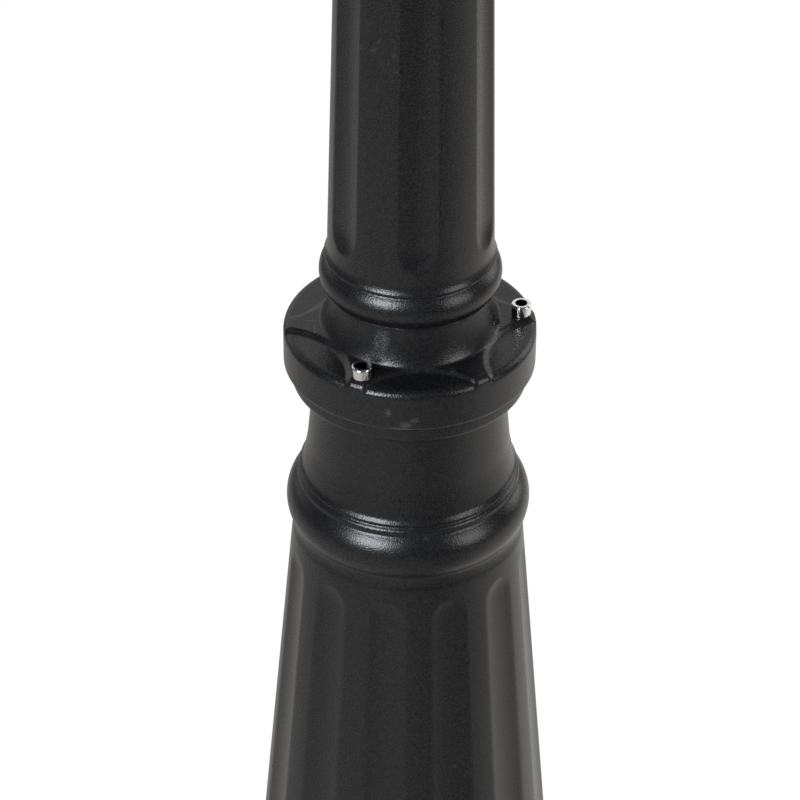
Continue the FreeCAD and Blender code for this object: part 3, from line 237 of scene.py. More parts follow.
def floor_paper():
    paper = bpy.data.materials.new("white_paper")
    paper.use_nodes = True
    tree = paper.node_tree
    tree.nodes.clear()
    place = node(tree, "ShaderNodeTexCoord").outputs["Object"]
    glow = node(tree, "ShaderNodeGroup", {"node_tree": GLOW}, Vector=place)
    path = node(tree, "ShaderNodeLightPath").outputs
    near = smooth(tree, vector_length(tree, place), PAPER_FAR, PAPER_NEAR, low=PAPER_FAR_SHARE)
    bright = maths(tree, "MULTIPLY", glow.outputs["Glow"], near)
    lit = node(tree, "ShaderNodeBsdfDiffuse", Color=(PAPER_GREY, PAPER_GREY, PAPER_GREY, 1))
    sheen = node(tree, "ShaderNodeEmission", Color=PAPER_TINT, Strength=bright)
    white = node(tree, "ShaderNodeEmission", Color=(1, 1, 1, 1), Strength=PAPER_WHITE)
    mirrored = node(tree, "ShaderNodeMixShader", i0=path["Is Glossy Ray"], i1=lit.outputs[0],
                    i2=sheen.outputs[0])
    share = maths(tree, "MULTIPLY", clean_rays(tree, path), 1.0 - FLOOR_SHADOW_SHARE)
    seen = node(tree, "ShaderNodeMixShader", i0=share, i1=mirrored.outputs[0], i2=white.outputs[0])
    node(tree, "ShaderNodeOutputMaterial", Surface=seen.outputs[0])
    return paper


def add_floor():
    mesh = bpy.data.meshes.new("studio_floor")
    mesh.from_pydata([(0, 0, 0)] + ring_points(FLOOR_RADIUS, 0, FLOOR_STEPS), [],
                     [(0, n + 1, (n + 1) % FLOOR_STEPS + 1) for n in range(FLOOR_STEPS)])
    floor = bpy.data.objects.new("studio_floor", mesh)
    bpy.context.scene.collection.objects.link(floor)
    mesh.materials.append(floor_paper())
    return floor


add_floor()
print("floor", 2 * FLOOR_RADIUS, "m across")

# %% [markdown]
# Three soft boxes. The key stands in front on the left, seen from the joint a little lower than
# the camera: mirrored in the beads and the collar's rim it makes their bright lines. A dim one on
# the right fills the other side, and a tall one behind on the right edges the post.

# %% Lights
LIGHT_TARGET = Vector((0, 0, 0.6))
COOL, NEUTRAL = (0.90, 0.95, 1.0), (1.0, 1.0, 1.0)
KEY = ("key_left", (-1.46, -1.74, 1.68), (1.15, 1.3), 71.0, COOL)
FILL = ("fill_right", (1.85, -1.34, 1.34), (1.0, 1.4), 15.0, NEUTRAL)
RIM = ("rim_right", (2.6, 1.2, 1.6), (1.2, 2.6), 16.0, NEUTRAL)


def add_light(name, place, size, watts, colour):
    light = bpy.data.lights.new(name, "AREA")
    light.shape = "RECTANGLE"
    light.size, light.size_y = size
    light.energy = watts
    light.color = colour
    lamp = bpy.data.objects.new(name, light)
    lamp.location = place
    lamp.rotation_euler = (LIGHT_TARGET - lamp.location).to_track_quat("-Z", "Y").to_euler()
    bpy.context.scene.collection.objects.link(lamp)
    return lamp


def add_world():
    world = bpy.data.worlds.new("studio")
    bpy.context.scene.world = world
    world.use_nodes = True
    tree = world.node_tree
    tree.nodes.clear()
    path = node(tree, "ShaderNodeLightPath").outputs
    toward = node(tree, "ShaderNodeSeparateXYZ", Vector=node(tree, "ShaderNodeTexCoord").outputs["Generated"])
    behind = smooth(tree, toward.outputs[1], *BACKDROP_SIDES)
    below = smooth(tree, toward.outputs[2], BACKDROP_FADE, BACKDROP_TOP)
    backdrop = maths(tree, "MULTIPLY", behind, below)
    sky = maths(tree, "MULTIPLY_ADD", backdrop, BACKDROP_GLOSS, SKY_GLOSS)
    gloss = maths(tree, "MULTIPLY", path["Is Glossy Ray"], sky)
    diffuse = maths(tree, "MULTIPLY", path["Is Diffuse Ray"], SKY_FILL)
    strength = maths(tree, "MAXIMUM", clean_rays(tree, path), maths(tree, "ADD", gloss, diffuse))
    background = node(tree, "ShaderNodeBackground", Color=(1, 1, 1, 1), Strength=strength)
    node(tree, "ShaderNodeOutputWorld", Surface=background.outputs[0])


lamps = [add_light(*row) for row in (KEY, FILL, RIM)]
add_world()
bpy.context.scene.view_settings.view_transform = "Standard"
print("lights", [lamp.name for lamp in lamps])

# %% [markdown]
# Effects that are used again and again are node groups. `powder grain` is the fine orange peel of
# a powder coat: a small soft bump with finer speckle, and a slight change of gloss with it.
# `handling wear` finds rubbed places with two sizes of noise, for paint that has been scuffed
# lighter. `scuff mark` is one mark at a given place, and takes in the marks before it, so that
# several make a chain. All read Object coordinates, so the scale is the same on all parts.

# %% Shader groups
GRAIN_SIZE = 0.8 * MM
FINE_RATIO, FINE_SHARE = 1.7, 0.45
RAGGED_SIZE = 0.6 * MM
VECTOR_IN = ("Vector", "Vector")


def grain_group():
    tree, start, end = new_group(
        "powder grain", "ShaderNodeTree",
        [VECTOR_IN, ("Grain size", "Float", GRAIN_SIZE), ("Relief", "Float", 0.00004),
         ("Roughness", "Float", 0.4), ("Variation", "Float", 0.18)],
        [("Normal", "Vector"), ("Roughness", "Float"), ("Speckle", "Float")])
    given = start.outputs
    frequency = maths(tree, "DIVIDE", 1.0, given["Grain size"])
    peel = node(tree, "ShaderNodeTexNoise", Vector=given["Vector"], Scale=frequency, Detail=0.0)
    fine = node(tree, "ShaderNodeTexNoise", Vector=given["Vector"], Detail=0.0,
                Scale=maths(tree, "MULTIPLY", frequency, FINE_RATIO))
    height = maths(tree, "MULTIPLY_ADD", fine.outputs["Fac"], FINE_SHARE, peel.outputs["Fac"])
    bump = node(tree, "ShaderNodeBump", Strength=1.0, Distance=given["Relief"], Height=height)
    shift = maths(tree, "MULTIPLY", maths(tree, "SUBTRACT", fine.outputs["Fac"], 0.5), given["Variation"])
    speckle = node(tree, "ShaderNodeMapRange", Value=peel.outputs["Fac"], From_Min=0.34, From_Max=0.66)
    tree.links.new(bump.outputs["Normal"], end.inputs["Normal"])
    tree.links.new(maths(tree, "ADD", given["Roughness"], shift), end.inputs["Roughness"])
    tree.links.new(speckle.outputs[0], end.inputs["Speckle"])
    return tree


def wear_group():
    tree, start, end = new_group(
        "handling wear", "ShaderNodeTree",
        [VECTOR_IN, ("Patch size", "Float", 0.05), ("Amount", "Float", 0.5)], [("Mask", "Float")])
    given = start.outputs
    broad = node(tree, "ShaderNodeTexNoise", Vector=given["Vector"], Detail=3.0, Roughness=0.6,
                 Scale=maths(tree, "DIVIDE", 1.0, given["Patch size"]))
    small = node(tree, "ShaderNodeTexNoise", Vector=given["Vector"], Detail=4.0, Roughness=0.7,
                 Scale=maths(tree, "DIVIDE", 9.0, given["Patch size"]))
    mixed = maths(tree, "MULTIPLY", broad.outputs["Fac"], small.outputs["Fac"])
    low = maths(tree, "SUBTRACT", 0.42, maths(tree, "MULTIPLY", given["Amount"], 0.16))
    mask = smooth(tree, mixed, low, maths(tree, "ADD", low, 0.06))
    tree.links.new(mask, end.inputs["Mask"])
    return tree


def mark_group():
    """Mask of one scuff: an oval about a place, turned, with an edge broken up by noise."""
    tree, start, end = new_group(
        "scuff mark", "ShaderNodeTree",
        [VECTOR_IN, ("Place", "Vector"), ("Turn", "Vector"), ("Reach", "Vector", (1, 1, 1)),
         ("Raggedness", "Float", 0.8), ("Strength", "Float", 1.0), ("Before", "Float", 0.0)],
        [("Mask", "Float")])
    given = start.outputs
    local = node(tree, "ShaderNodeMapping", {"vector_type": "TEXTURE"}, Vector=given["Vector"],
                 Location=given["Place"], Rotation=given["Turn"], Scale=given["Reach"])
    broken = node(tree, "ShaderNodeTexNoise", Vector=given["Vector"], Scale=1.0 / RAGGED_SIZE, Detail=1.0)
    ragged = maths(tree, "MULTIPLY", maths(tree, "SUBTRACT", broken.outputs["Fac"], 0.5), given["Raggedness"])
    away = maths(tree, "MULTIPLY_ADD", ragged, 2.0, vector_length(tree, local.outputs[0]))
    own = maths(tree, "MULTIPLY", smooth(tree, away, 1.05, 0.2), given["Strength"])
    tree.links.new(maths(tree, "MAXIMUM", own, given["Before"]), end.inputs["Mask"])
    return tree


GRAIN = grain_group()
WEAR = wear_group()
MARK = mark_group()
print("shader groups", GRAIN.name, WEAR.name, MARK.name)

# %% [markdown]
# Every material begins and ends alike: it reads the Object coordinates and hands one shader to
# its output. These helpers do that, place a node group and mix two colours.

# %% Helpers for materials


def new_material(name):
    made = bpy.data.materials.new(name)
    made.use_nodes = True
    tree = made.node_tree
    tree.nodes.clear()
    return made, tree, node(tree, "ShaderNodeTexCoord").outputs["Object"]


def close_material(tree, shader):
    node(tree, "ShaderNodeOutputMaterial", Surface=shader.outputs[0])


def group_node(tree, group, **inputs):
    return node(tree, "ShaderNodeGroup", {"node_tree": group}, **inputs)


def mix_colour(tree, share, first, second):
    return node(tree, "ShaderNodeMix", {"data_type": "RGBA"}, i0=share, i6=first, i7=second).outputs[2]


print("material helpers ready")

# %% [markdown]
# The coat bears the marks of handling that the photograph shows: scratches on an arm and on the rim, a smear
# of old paint at the seam, and the edge of the skirt rubbed pale, which is also a painted highlight along
# that edge. Each is a narrow or a ragged oval at its own place, in millimetres from the axis and from the
# table. A chain of small groups is easy to place and to move, where a painted picture would be fixed.

# %% Marks on the coat
# The band along the skirt's lower edge holds rubbed paint and a painted highlight.
SKIRT_LOW = TABLE - 24.0 * MM
SEAM_BAND = 0.9 * MM
SCRATCHES = (((-54.5, 1.1, 0.0), (-44.2, 1.2, 0.0), 0.32),
             ((-47.9, 0.8, 0.0), (-48.6, -13.6, 0.0), 0.30),
             ((8.4, -63.0, -2.6), (21.0, -59.0, -1.7), 0.55),
             ((14.0, -59.6, -1.9), (20.0, -57.0, -1.9), 0.30),
             ((-58.8, -20.2, -84.0), (-50.6, -36.0, -89.0), 0.35),
             ((-17.0, -61.4, -22.4), (1.5, -63.4, -23.6), 0.75))
SMEAR_STRENGTH = 0.42
SMEARS = (((-7.5, -62.9, -20.6), (4.2, 2.0, 2.6), 1.0),
          ((-3.2, -63.2, -17.6), (2.6, 2.0, 1.7), 1.3),
          ((-16.0, -61.3, -13.6), (1.6, 2.0, 2.6), 1.6))
SEAM_OFFSET = 0.3 * MM


def from_table(point):
    """A place in metres, from millimetres beside the axis and above the table."""
    return Vector(point) * MM + Vector((0, 0, TABLE))


def mark_chain(tree, place):
    """Mask of all scratches and smears, one mark after another."""
    mask = 0.0
    for first, last, width in SCRATCHES:
        along = from_table(last) - from_table(first)
        mark = group_node(tree, MARK, Vector=place, Place=(from_table(first) + from_table(last)) / 2,
                          Turn=along.to_track_quat("X", "Z").to_euler(),
                          Reach=(along.length / 2, width * MM, width * MM), Raggedness=0.5, Before=mask)
        mask = mark.outputs["Mask"]
    for middle, reach, ragged in SMEARS:
        mark = group_node(tree, MARK, Vector=place, Place=from_table(middle), Reach=Vector(reach) * MM,
                          Raggedness=ragged, Strength=SMEAR_STRENGTH, Before=mask)
        mask = mark.outputs["Mask"]
    return mask


def seam_wear_and_highlight(tree, height, speckle):
    """Mask along the lower edge of the collar's skirt: paint rubbed thin there, and a painted highlight on
    that edge.
    """
    off = maths(tree, "ABSOLUTE", maths(tree, "SUBTRACT", height, SKIRT_LOW + SEAM_OFFSET))
    band = smooth(tree, off, SEAM_BAND, SEAM_BAND * 0.3)
    return maths(tree, "MULTIPLY", band, maths(tree, "MULTIPLY_ADD", speckle, 0.7, 0.4))


print(len(SCRATCHES), "scratches,", len(SMEARS), "smears")

# %% [markdown]
# The powder coat is nearly black, so almost all that is seen of it is reflected light. A low
# roughness keeps the lamps as the bright lines and soft flanks of the photograph, and the grain
# breaks them into a fine sparkle. The grain is strongest about the joint, as in the photograph.
# Worn spots are a touch lighter and less shiny. Collar and base take a second coat, with the marks.

# %% Material: black powder coat
COAT_BLACK = (0.0022, 0.0022, 0.0026, 1)
COAT_SPECK = (0.0095, 0.0097, 0.0108, 1)
COAT_RUBBED = (0.024, 0.024, 0.026, 1)
COAT_PALE = (0.070, 0.067, 0.060, 1)
COAT_ROUGHNESS = 0.27
COAT_RELIEF = 0.065 * MM
GRAIN_RISE = (TABLE - 150 * MM, TABLE - 60 * MM)
GRAIN_SHARE = (0.75, 1.45)
WEAR_AMOUNT, WORN_SHARE, WORN_DULL = 0.15, 0.6, 0.12


def coat_material(name, marked=False):
    made, tree, place = new_material(name)
    height = node(tree, "ShaderNodeSeparateXYZ", Vector=place).outputs[2]
    rise = smooth(tree, height, *GRAIN_RISE, *GRAIN_SHARE)
    grain = group_node(tree, GRAIN, Vector=place, Roughness=COAT_ROUGHNESS,
                       Relief=maths(tree, "MULTIPLY", rise, COAT_RELIEF)).outputs
    rubbed = group_node(tree, WEAR, Vector=place, Amount=WEAR_AMOUNT)
    worn = maths(tree, "MULTIPLY", rubbed.outputs["Mask"], WORN_SHARE)
    coat = mix_colour(tree, grain["Speckle"], COAT_BLACK, COAT_SPECK)
    colour = mix_colour(tree, worn, coat, COAT_RUBBED)
    if marked:
        # Pale where the paint is marked, and a painted highlight along the skirt's lower edge.
        pale = maths(tree, "MAXIMUM", seam_wear_and_highlight(tree, height, grain["Speckle"]), mark_chain(tree, place))
        colour = mix_colour(tree, pale, colour, COAT_PALE)
    rough = maths(tree, "MULTIPLY_ADD", worn, WORN_DULL, grain["Roughness"])
    shader = node(tree, "ShaderNodeBsdfPrincipled", Base_Color=colour, Roughness=rough,
                  Normal=grain["Normal"], Specular_IOR_Level=0.5)
    close_material(tree, shader)
    return made


powder_coat = coat_material("black powder coat")
marked_coat = coat_material("black powder coat with marks", marked=True)
print("materials", [m.name for m in bpy.data.materials])

# %% [markdown]
# Castings are turned shapes with softened corners. An outline is written with the same few points
# as the drawing: corners, and arcs with their bow. `soft_outline` walks along it in short steps and
# then averages neighbours a few times, which rounds every corner a little, as sand casting and a
# coat of powder do.

# %% Soft outlines
ARC_STEP_SHARE = 0.05
QUARTER_BOW = 1 - math.sqrt(0.5)


def arc_points(start, end, bow, step):
    """Points after start along an arc that stands off its chord by bow, outwards where it runs up."""
    chord = math.dist(start, end)
    if abs(bow) < chord * 0.004:
        return [end]
    radius = (chord * chord / 4 + bow * bow) / (2 * abs(bow))
    half = 2 * math.atan2(2 * abs(bow), chord)
    count = max(2, math.ceil(2 * half * radius / max(step, ARC_STEP_SHARE * radius)))
    along = ((end[0] - start[0]) / chord, (end[1] - start[1]) / chord)
    out = (along[1] * math.copysign(1, bow), -along[0] * math.copysign(1, bow))
    made = []
    for n in range(1, count + 1):
        turn = half * (2 * n / count - 1)
        forward, rise = radius * math.sin(turn) + chord / 2, radius * (math.cos(turn) - math.cos(half))
        made.append(tuple(start[k] + along[k] * forward + out[k] * rise for k in (0, 1)))
    return made


def line_points(start, end, step, coarse):
    """Points after start along a line: close together at its ends and further apart between."""
    length = math.dist(start, end)
    places, here, gap = [], 0.0, step
    while here < length / 2 - gap / 2:
        places.append(here)
        here += gap
        gap = min(gap * 1.35, coarse)
    places = places + [length / 2] * (length > 2 * step) + [length - p for p in reversed(places)]
    return [tuple(start[k] + (end[k] - start[k]) * p / length for k in (0, 1)) for p in places if p > 0]


def soft_outline(steps, step=0.5 * MM, coarse=18 * MM, passes=2):
    """Closed outline of (radius, height) points. A step is a corner, or (radius, height, bow)."""
    points = [steps[0]]
    for item in list(steps[1:]) + [steps[0]]:
        if len(item) == 3:
            points += arc_points(points[-1], item[:2], item[2], step)
        else:
            points += line_points(points[-1], item, step, coarse)
    points = points[:-1]
    for _ in range(passes):
        before, after = points[-1:] + points[:-1], points[1:] + points[:1]
        points = [tuple((a[k] + 2 * b[k] + c[k]) / 4 for k in (0, 1))
                  for a, b, c in zip(before, points, after)]
    return points


print("outline helpers ready")

# %% [markdown]
# `turn_outline` spins an outline into a closed mesh with the faces pointing out, and marks which
# points are on the outer skin. `run_tree` puts a Geometry Nodes tree on a piece, gives it its
# values, and keeps the result as a plain mesh, because the export takes plain meshes.

# %% Turned pieces and geometry trees


def new_piece(name, vertices, faces, material):
    mesh = bpy.data.meshes.new(name)
    mesh.from_pydata(vertices, [], faces)
    mesh.validate()
    mesh.shade_smooth()
    mesh.materials.append(material)
    made = bpy.data.objects.new(name, mesh)
    bpy.context.scene.collection.objects.link(made)
    return made


def turn_outline(name, outline, segments, material, skin=None):
    """Spins a closed outline round Z. skin(radius, height) is 1 on the faces to be carved later."""
    area = sum(a[0] * b[1] - b[0] * a[1] for a, b in zip(outline, outline[1:] + outline[:1]))
    if area < 0:
        outline = outline[::-1]
    rows = len(outline)
    turns = [(math.cos(math.tau * s / segments), math.sin(math.tau * s / segments)) for s in range(segments)]
    vertices = [(r * c, r * n, z) for c, n in turns for r, z in outline]
    faces = []
    for s in range(segments):
        this, following = s * rows, (s + 1) % segments * rows
        for i in range(rows):
            j = (i + 1) % rows
            faces.append((this + i, following + i, following + j, this + j))
    made = new_piece(name, vertices, faces, material)
    if skin:
        weights = [skin(r, z) for r, z in outline] * segments
        made.data.attributes.new("skin", "FLOAT", "POINT").data.foreach_set("value", weights)
    return made


def run_tree(piece, tree, **inputs):
    """Runs a geometry tree on a piece and keeps the result as its plain mesh."""
    modifier = piece.modifiers.new(tree.name, "NODES")
    modifier.node_group = tree
    names = {s.name: s.identifier for s in tree.interface.items_tree if s.in_out == "INPUT"}
    for name, value in inputs.items():
        modifier[names[name.replace("_", " ")]] = value
    piece.update_tag()
    shaped = bpy.data.meshes.new_from_object(piece.evaluated_get(bpy.context.evaluated_depsgraph_get()))
    piece.modifiers.remove(modifier)
    old, materials = piece.data, list(piece.data.materials)
    piece.data = shaped
    shaped.name = piece.name
    bpy.data.meshes.remove(old)
    if not shaped.materials:
        for material in materials:
            shaped.materials.append(material)
    return piece


print("turning helpers ready")

# %% [markdown]
# A flute is the same shallow groove again and again round a cone, so it is a rule for Geometry
# Nodes. For each point of the skin the tree works out how far it lies from the middle of the
# nearest groove, as a share of the groove's half width, and how far past the groove's straight
# part, as a share of its rounded end. Inside that oval the skin is drawn towards the axis. A
# smooth maximum instead of a hard one leaves the soft lip that powder coat gives an edge. Width
# and depth are shares of the radius, so the flutes taper with the post.

# %% Geometry tree: flutes


def root_of_squares(tree, one, other):
    return maths(tree, "SQRT", maths(tree, "MULTIPLY_ADD", one, one, maths(tree, "MULTIPLY", other, other)))


def turn_from_nearest(tree, x, y, first, count):
    """Angle from the nearest of count directions, evenly spread from the first one."""
    angle = maths(tree, "SUBTRACT", maths(tree, "ARCTAN2", y, x), first)
    pitch = maths(tree, "DIVIDE", math.tau, count)
    nearest = maths(tree, "MULTIPLY", maths(tree, "ROUND", maths(tree, "DIVIDE", angle, pitch)), pitch)
    return maths(tree, "SUBTRACT", angle, nearest)


def share_past(tree, start, end, reach):
    """How far end lies past start, never less than nothing, as a share of reach."""
    past = maths(tree, "MAXIMUM", maths(tree, "SUBTRACT", end, start), 0.0)
    return maths(tree, "DIVIDE", past, reach)


def skin_weight(tree):
    return node(tree, "GeometryNodeInputNamedAttribute", {"data_type": "FLOAT"}, Name="skin").outputs[0]


def point_place(tree):
    position = node(tree, "GeometryNodeInputPosition").outputs[0]
    return node(tree, "ShaderNodeSeparateXYZ", Vector=position).outputs


def flute_tree():
    tree, start, end = new_group(
        "flutes", "GeometryNodeTree",
        [("Geometry", "Geometry"), ("Count", "Float", 6.0), ("First angle", "Float", 0.0),
         ("Half angle", "Float", 0.24), ("Depth share", "Float", 0.07), ("Low", "Float", 0.0),
         ("High", "Float", 1.0), ("Low end", "Float", 0.013), ("High end", "Float", 0.013),
         ("Softness", "Float", 0.12)],
        [("Geometry", "Geometry")])
    given = start.outputs
    x, y, z = point_place(tree)
    turn = turn_from_nearest(tree, x, y, given["First angle"], given["Count"])
    across = maths(tree, "DIVIDE", turn, given["Half angle"])
    below = share_past(tree, z, given["Low"], given["Low end"])
    above = share_past(tree, given["High"], z, given["High end"])
    past = maths(tree, "ADD", below, above)
    spread = maths(tree, "MULTIPLY_ADD", across, across, maths(tree, "MULTIPLY", past, past))
    hollow = maths(tree, "SMOOTH_MAX", maths(tree, "SUBTRACT", 1.0, spread), 0.0, given["Softness"])
    drawn = maths(tree, "MULTIPLY", maths(tree, "MULTIPLY", hollow, skin_weight(tree)), given["Depth share"])
    keep = maths(tree, "SUBTRACT", 1.0, drawn)
    moved = node(tree, "ShaderNodeCombineXYZ", X=maths(tree, "MULTIPLY", x, keep),
                 Y=maths(tree, "MULTIPLY", y, keep), Z=z)
    shift = node(tree, "GeometryNodeSetPosition", Geometry=given["Geometry"], Position=moved.outputs[0])
    tree.links.new(shift.outputs[0], end.inputs[0])
    return tree


FLUTES = flute_tree()
print("tree", FLUTES.name, "with", len(FLUTES.nodes), "nodes")

# %% [markdown]
# The shaft: a roll bead and a small hollow sweep at its foot, then a long taper with six flutes.
# The outline gives the bead, the sweep and the taper, and the tree carves the flutes. The wall is
# real, so the bore is there too, with the recess that sits over the collar's spigot.

# %% Shaft
SHAFT_FOOT_RADIUS = 41.2 * MM
SHAFT_TOP_RADIUS = 21.0 * MM
BEAD_RADIUS = 45.4 * MM
BEAD_SEAT = 41.4 * MM
BEAD_HEIGHT = 18.0 * MM
QUIRK_RADIUS = 41.6 * MM
SWEEP_EDGE = (42.9 * MM, SHAFT_BOTTOM + 19.0 * MM, SHAFT_BOTTOM + 19.6 * MM)
SWEEP_HIGH = SHAFT_BOTTOM + 25.2 * MM
SWEEP_HOLLOW = 0.45 * MM
SHAFT_WALL = 5.5 * MM
SPIGOT_BORE = 30.1 * MM
SPIGOT_BORE_TOP = SHAFT_BOTTOM + 38.3 * MM
PLUG_DEPTH = 45 * MM
SKIN_DEPTH = 2 * MM
SHAFT_FLUTES = 6
SHAFT_FLUTE_HALF_ANGLE = math.radians(14.0)
SHAFT_FLUTE_DEPTH_SHARE = 2.9 / 41.2
SHAFT_FLUTE_MARGIN = 6.5 * MM
SHAFT_FLUTE_END = 12.8 * MM


def taper(low, high, height):
    """Radius at a height on the straight flank between two (radius, height) points."""
    return low[0] + (high[0] - low[0]) * (height - low[1]) / (high[1] - low[1])


def make_shaft():
    foot, top = (SHAFT_FOOT_RADIUS, SWEEP_HIGH), (SHAFT_TOP_RADIUS, SHAFT_TOP)
    low = SWEEP_HIGH + SHAFT_FLUTE_MARGIN + SHAFT_FLUTE_END
    high_end = SHAFT_FLUTE_END * SHAFT_TOP_RADIUS / SHAFT_FOOT_RADIUS
    high = SHAFT_TOP - SHAFT_FLUTE_MARGIN - high_end
    tips = (SWEEP_HIGH + SHAFT_FLUTE_MARGIN, low + 2 * MM, high, SHAFT_TOP - SHAFT_FLUTE_MARGIN)
    plug_bore = SHAFT_TOP_RADIUS - SHAFT_WALL
    outline = soft_outline([
        (SPIGOT_BORE, SHAFT_BOTTOM), (BEAD_SEAT, SHAFT_BOTTOM),
        (BEAD_SEAT, SHAFT_BOTTOM + BEAD_HEIGHT, BEAD_RADIUS - BEAD_SEAT),
        (QUIRK_RADIUS, SHAFT_BOTTOM + BEAD_HEIGHT + 0.3 * MM),
        SWEEP_EDGE[:2], (SWEEP_EDGE[0], SWEEP_EDGE[2]), (*foot, -SWEEP_HOLLOW),
        *[(taper(foot, top, z), z) for z in tips], top,
        (plug_bore, SHAFT_TOP), (plug_bore, SHAFT_TOP - PLUG_DEPTH),
        (taper(foot, top, SPIGOT_BORE_TOP) - SHAFT_WALL, SPIGOT_BORE_TOP), (SPIGOT_BORE, SPIGOT_BORE_TOP)])
    made = turn_outline("shaft_casting", outline, 360, powder_coat,
                        lambda r, z: float(z > SWEEP_HIGH and r > taper(foot, top, z) - SKIN_DEPTH))
    run_tree(made, FLUTES, Count=float(SHAFT_FLUTES), First_angle=-math.pi / 2,
             Half_angle=SHAFT_FLUTE_HALF_ANGLE, Depth_share=SHAFT_FLUTE_DEPTH_SHARE, Low=low, High=high,
             Low_end=SHAFT_FLUTE_END, High_end=high_end)
    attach(made, "post")
    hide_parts("shaft")
    return made


shaft = make_shaft()
print("shaft", len(shaft.data.polygons), "faces")

# %% [markdown]
# The base casting carries the shaft: a fluted cone, a roll ring, a fine raised line, a cove, the
# neck and the lip that the collar's skirt covers. It is turned in the same way. Its twelve flutes
# stand half a step round from the shaft's six, as in the photograph, so their first angle is a
# twelfth of a half turn.

# %% Base casting
CONE_FOOT = (90.0 * MM, 150.0 * MM)
CONE_TOP = (60.0 * MM, 492.8 * MM)
RING_FOOT, RING_LOW, RING_SWEEP_HOLLOW = 59.2 * MM, CONE_TOP[1] + 8.0 * MM, 0.5 * MM
RING_RADIUS, RING_SEAT, RING_HIGH = 62.7 * MM, 56.6 * MM, RING_LOW + 24.6 * MM
LINE_FOOT, LINE_TOP, LINE_SWELL = 56.3 * MM, 55.6 * MM, 0.9 * MM
LINE_LOW, LINE_HIGH = RING_HIGH + 0.3 * MM, RING_HIGH + 3.9 * MM
GROOVE, GROOVE_LOW, GROOVE_HIGH = 55.0 * MM, LINE_HIGH + 0.4 * MM, LINE_HIGH + 1.1 * MM
COVE_EDGE, COVE_LOW, COVE_LIP = 56.0 * MM, GROOVE_HIGH + 0.4 * MM, 1.0 * MM
COVE_FILLET, COVE_FILLET_HIGH, COVE_FILLET_HOLLOW = 54.2 * MM, COVE_LOW + 4.0 * MM, 0.29 * MM
NECK_LOW = RING_LOW + 46.4 * MM
NECK_FOOT_RADIUS, NECK_TOP_RADIUS = 51.8 * MM, 48.4 * MM
LIP_RADIUS, LIP_LOW, LIP_ROUND, LIP_EASE = 59.5 * MM, LIP_TOP - 19.2 * MM, 3.0 * MM, 1.2 * MM
PLATE_RADIUS, PLATE_THICKNESS = 150.0 * MM, 14.0 * MM
FOOT_STEP_RADIUS, FOOT_STEP = 116.0 * MM, 32.0 * MM
OGEE_BOW = 5.0 * MM
ROLL_LOW, ROLL_HIGH = 110.0 * MM, 132.0 * MM
ROLL_SEAT_RADIUS, ROLL_SWELL = 94.0 * MM, 7.0 * MM
FOOT_BORE, CONE_BORE, NECK_BORE = 108.0 * MM, 82.0 * MM, 42.4 * MM
LEDGE_BORE, LEDGE_LOW = 46.4 * MM, LIP_TOP - 19.0 * MM
CONE_FLUTES = 12
CONE_FLUTE_HALF_ANGLE = math.radians(9.0)
CONE_FLUTE_DEPTH_SHARE = 2.6 / 90.0
CONE_FLUTE_FOOT, CONE_FLUTE_HEAD = CONE_FOOT[1] + 14.0 * MM, CONE_TOP[1] - 8.0 * MM
CONE_FLUTE_END = 13.0 * MM
CONE_WALL = 8 * MM
FOOT_HOLLOW, NECK_HOLLOW, NECK_FILLET = 1.3 * MM, 0.1 * MM, 1.2 * MM
EASE_LOW, EASE_HIGH, EASE_BOW = SKIRT_LOW - 3.5 * MM, SKIRT_LOW + 1 * MM, 0.3 * MM


def base_outline():
    half, mid = (FOOT_STEP_RADIUS + ROLL_SEAT_RADIUS) / 2, (FOOT_STEP + ROLL_LOW) / 2
    tips = [CONE_FLUTE_FOOT, CONE_FLUTE_FOOT + CONE_FLUTE_END * 1.6,
            CONE_FLUTE_HEAD - CONE_FLUTE_END * 1.2, CONE_FLUTE_HEAD]
    ring_bow = RING_RADIUS - (RING_FOOT + RING_SEAT) / 2
    return soft_outline([
        (FOOT_BORE, PLATE_THICKNESS), (FOOT_STEP_RADIUS, PLATE_THICKNESS), (FOOT_STEP_RADIUS, FOOT_STEP),
        (half, mid, OGEE_BOW), (ROLL_SEAT_RADIUS, ROLL_LOW, -OGEE_BOW),
        (ROLL_SEAT_RADIUS, ROLL_HIGH, ROLL_SWELL), (*CONE_FOOT, -FOOT_HOLLOW),
        *[(taper(CONE_FOOT, CONE_TOP, z), z) for z in tips], CONE_TOP,
        (RING_FOOT, RING_LOW, -RING_SWEEP_HOLLOW), (RING_SEAT, RING_HIGH, ring_bow),
        (LINE_FOOT, LINE_LOW), (LINE_TOP, LINE_HIGH, LINE_SWELL),
        (GROOVE, GROOVE_LOW), (GROOVE, GROOVE_HIGH), (COVE_EDGE, COVE_LOW), (COVE_EDGE, COVE_LOW + COVE_LIP),
        (COVE_FILLET, COVE_FILLET_HIGH, -COVE_FILLET_HOLLOW), (NECK_FOOT_RADIUS, NECK_LOW, -NECK_HOLLOW),
        (NECK_TOP_RADIUS, LIP_LOW - NECK_FILLET), (NECK_TOP_RADIUS + NECK_FILLET, LIP_LOW),
        (LIP_RADIUS - LIP_ROUND, LIP_LOW), (LIP_RADIUS, LIP_LOW + LIP_ROUND, LIP_ROUND * QUARTER_BOW),
        (LIP_RADIUS, EASE_LOW), (LIP_RADIUS - LIP_EASE, EASE_HIGH, EASE_BOW),
        (LIP_RADIUS - LIP_EASE, LIP_TOP), (LEDGE_BORE, LIP_TOP), (LEDGE_BORE, LEDGE_LOW),
        (NECK_BORE, LEDGE_LOW), (NECK_BORE, NECK_LOW), (CONE_TOP[0] - CONE_WALL, CONE_TOP[1]),
        (CONE_BORE, CONE_FOOT[1]), (CONE_BORE, ROLL_LOW), (FOOT_BORE, FOOT_STEP)])


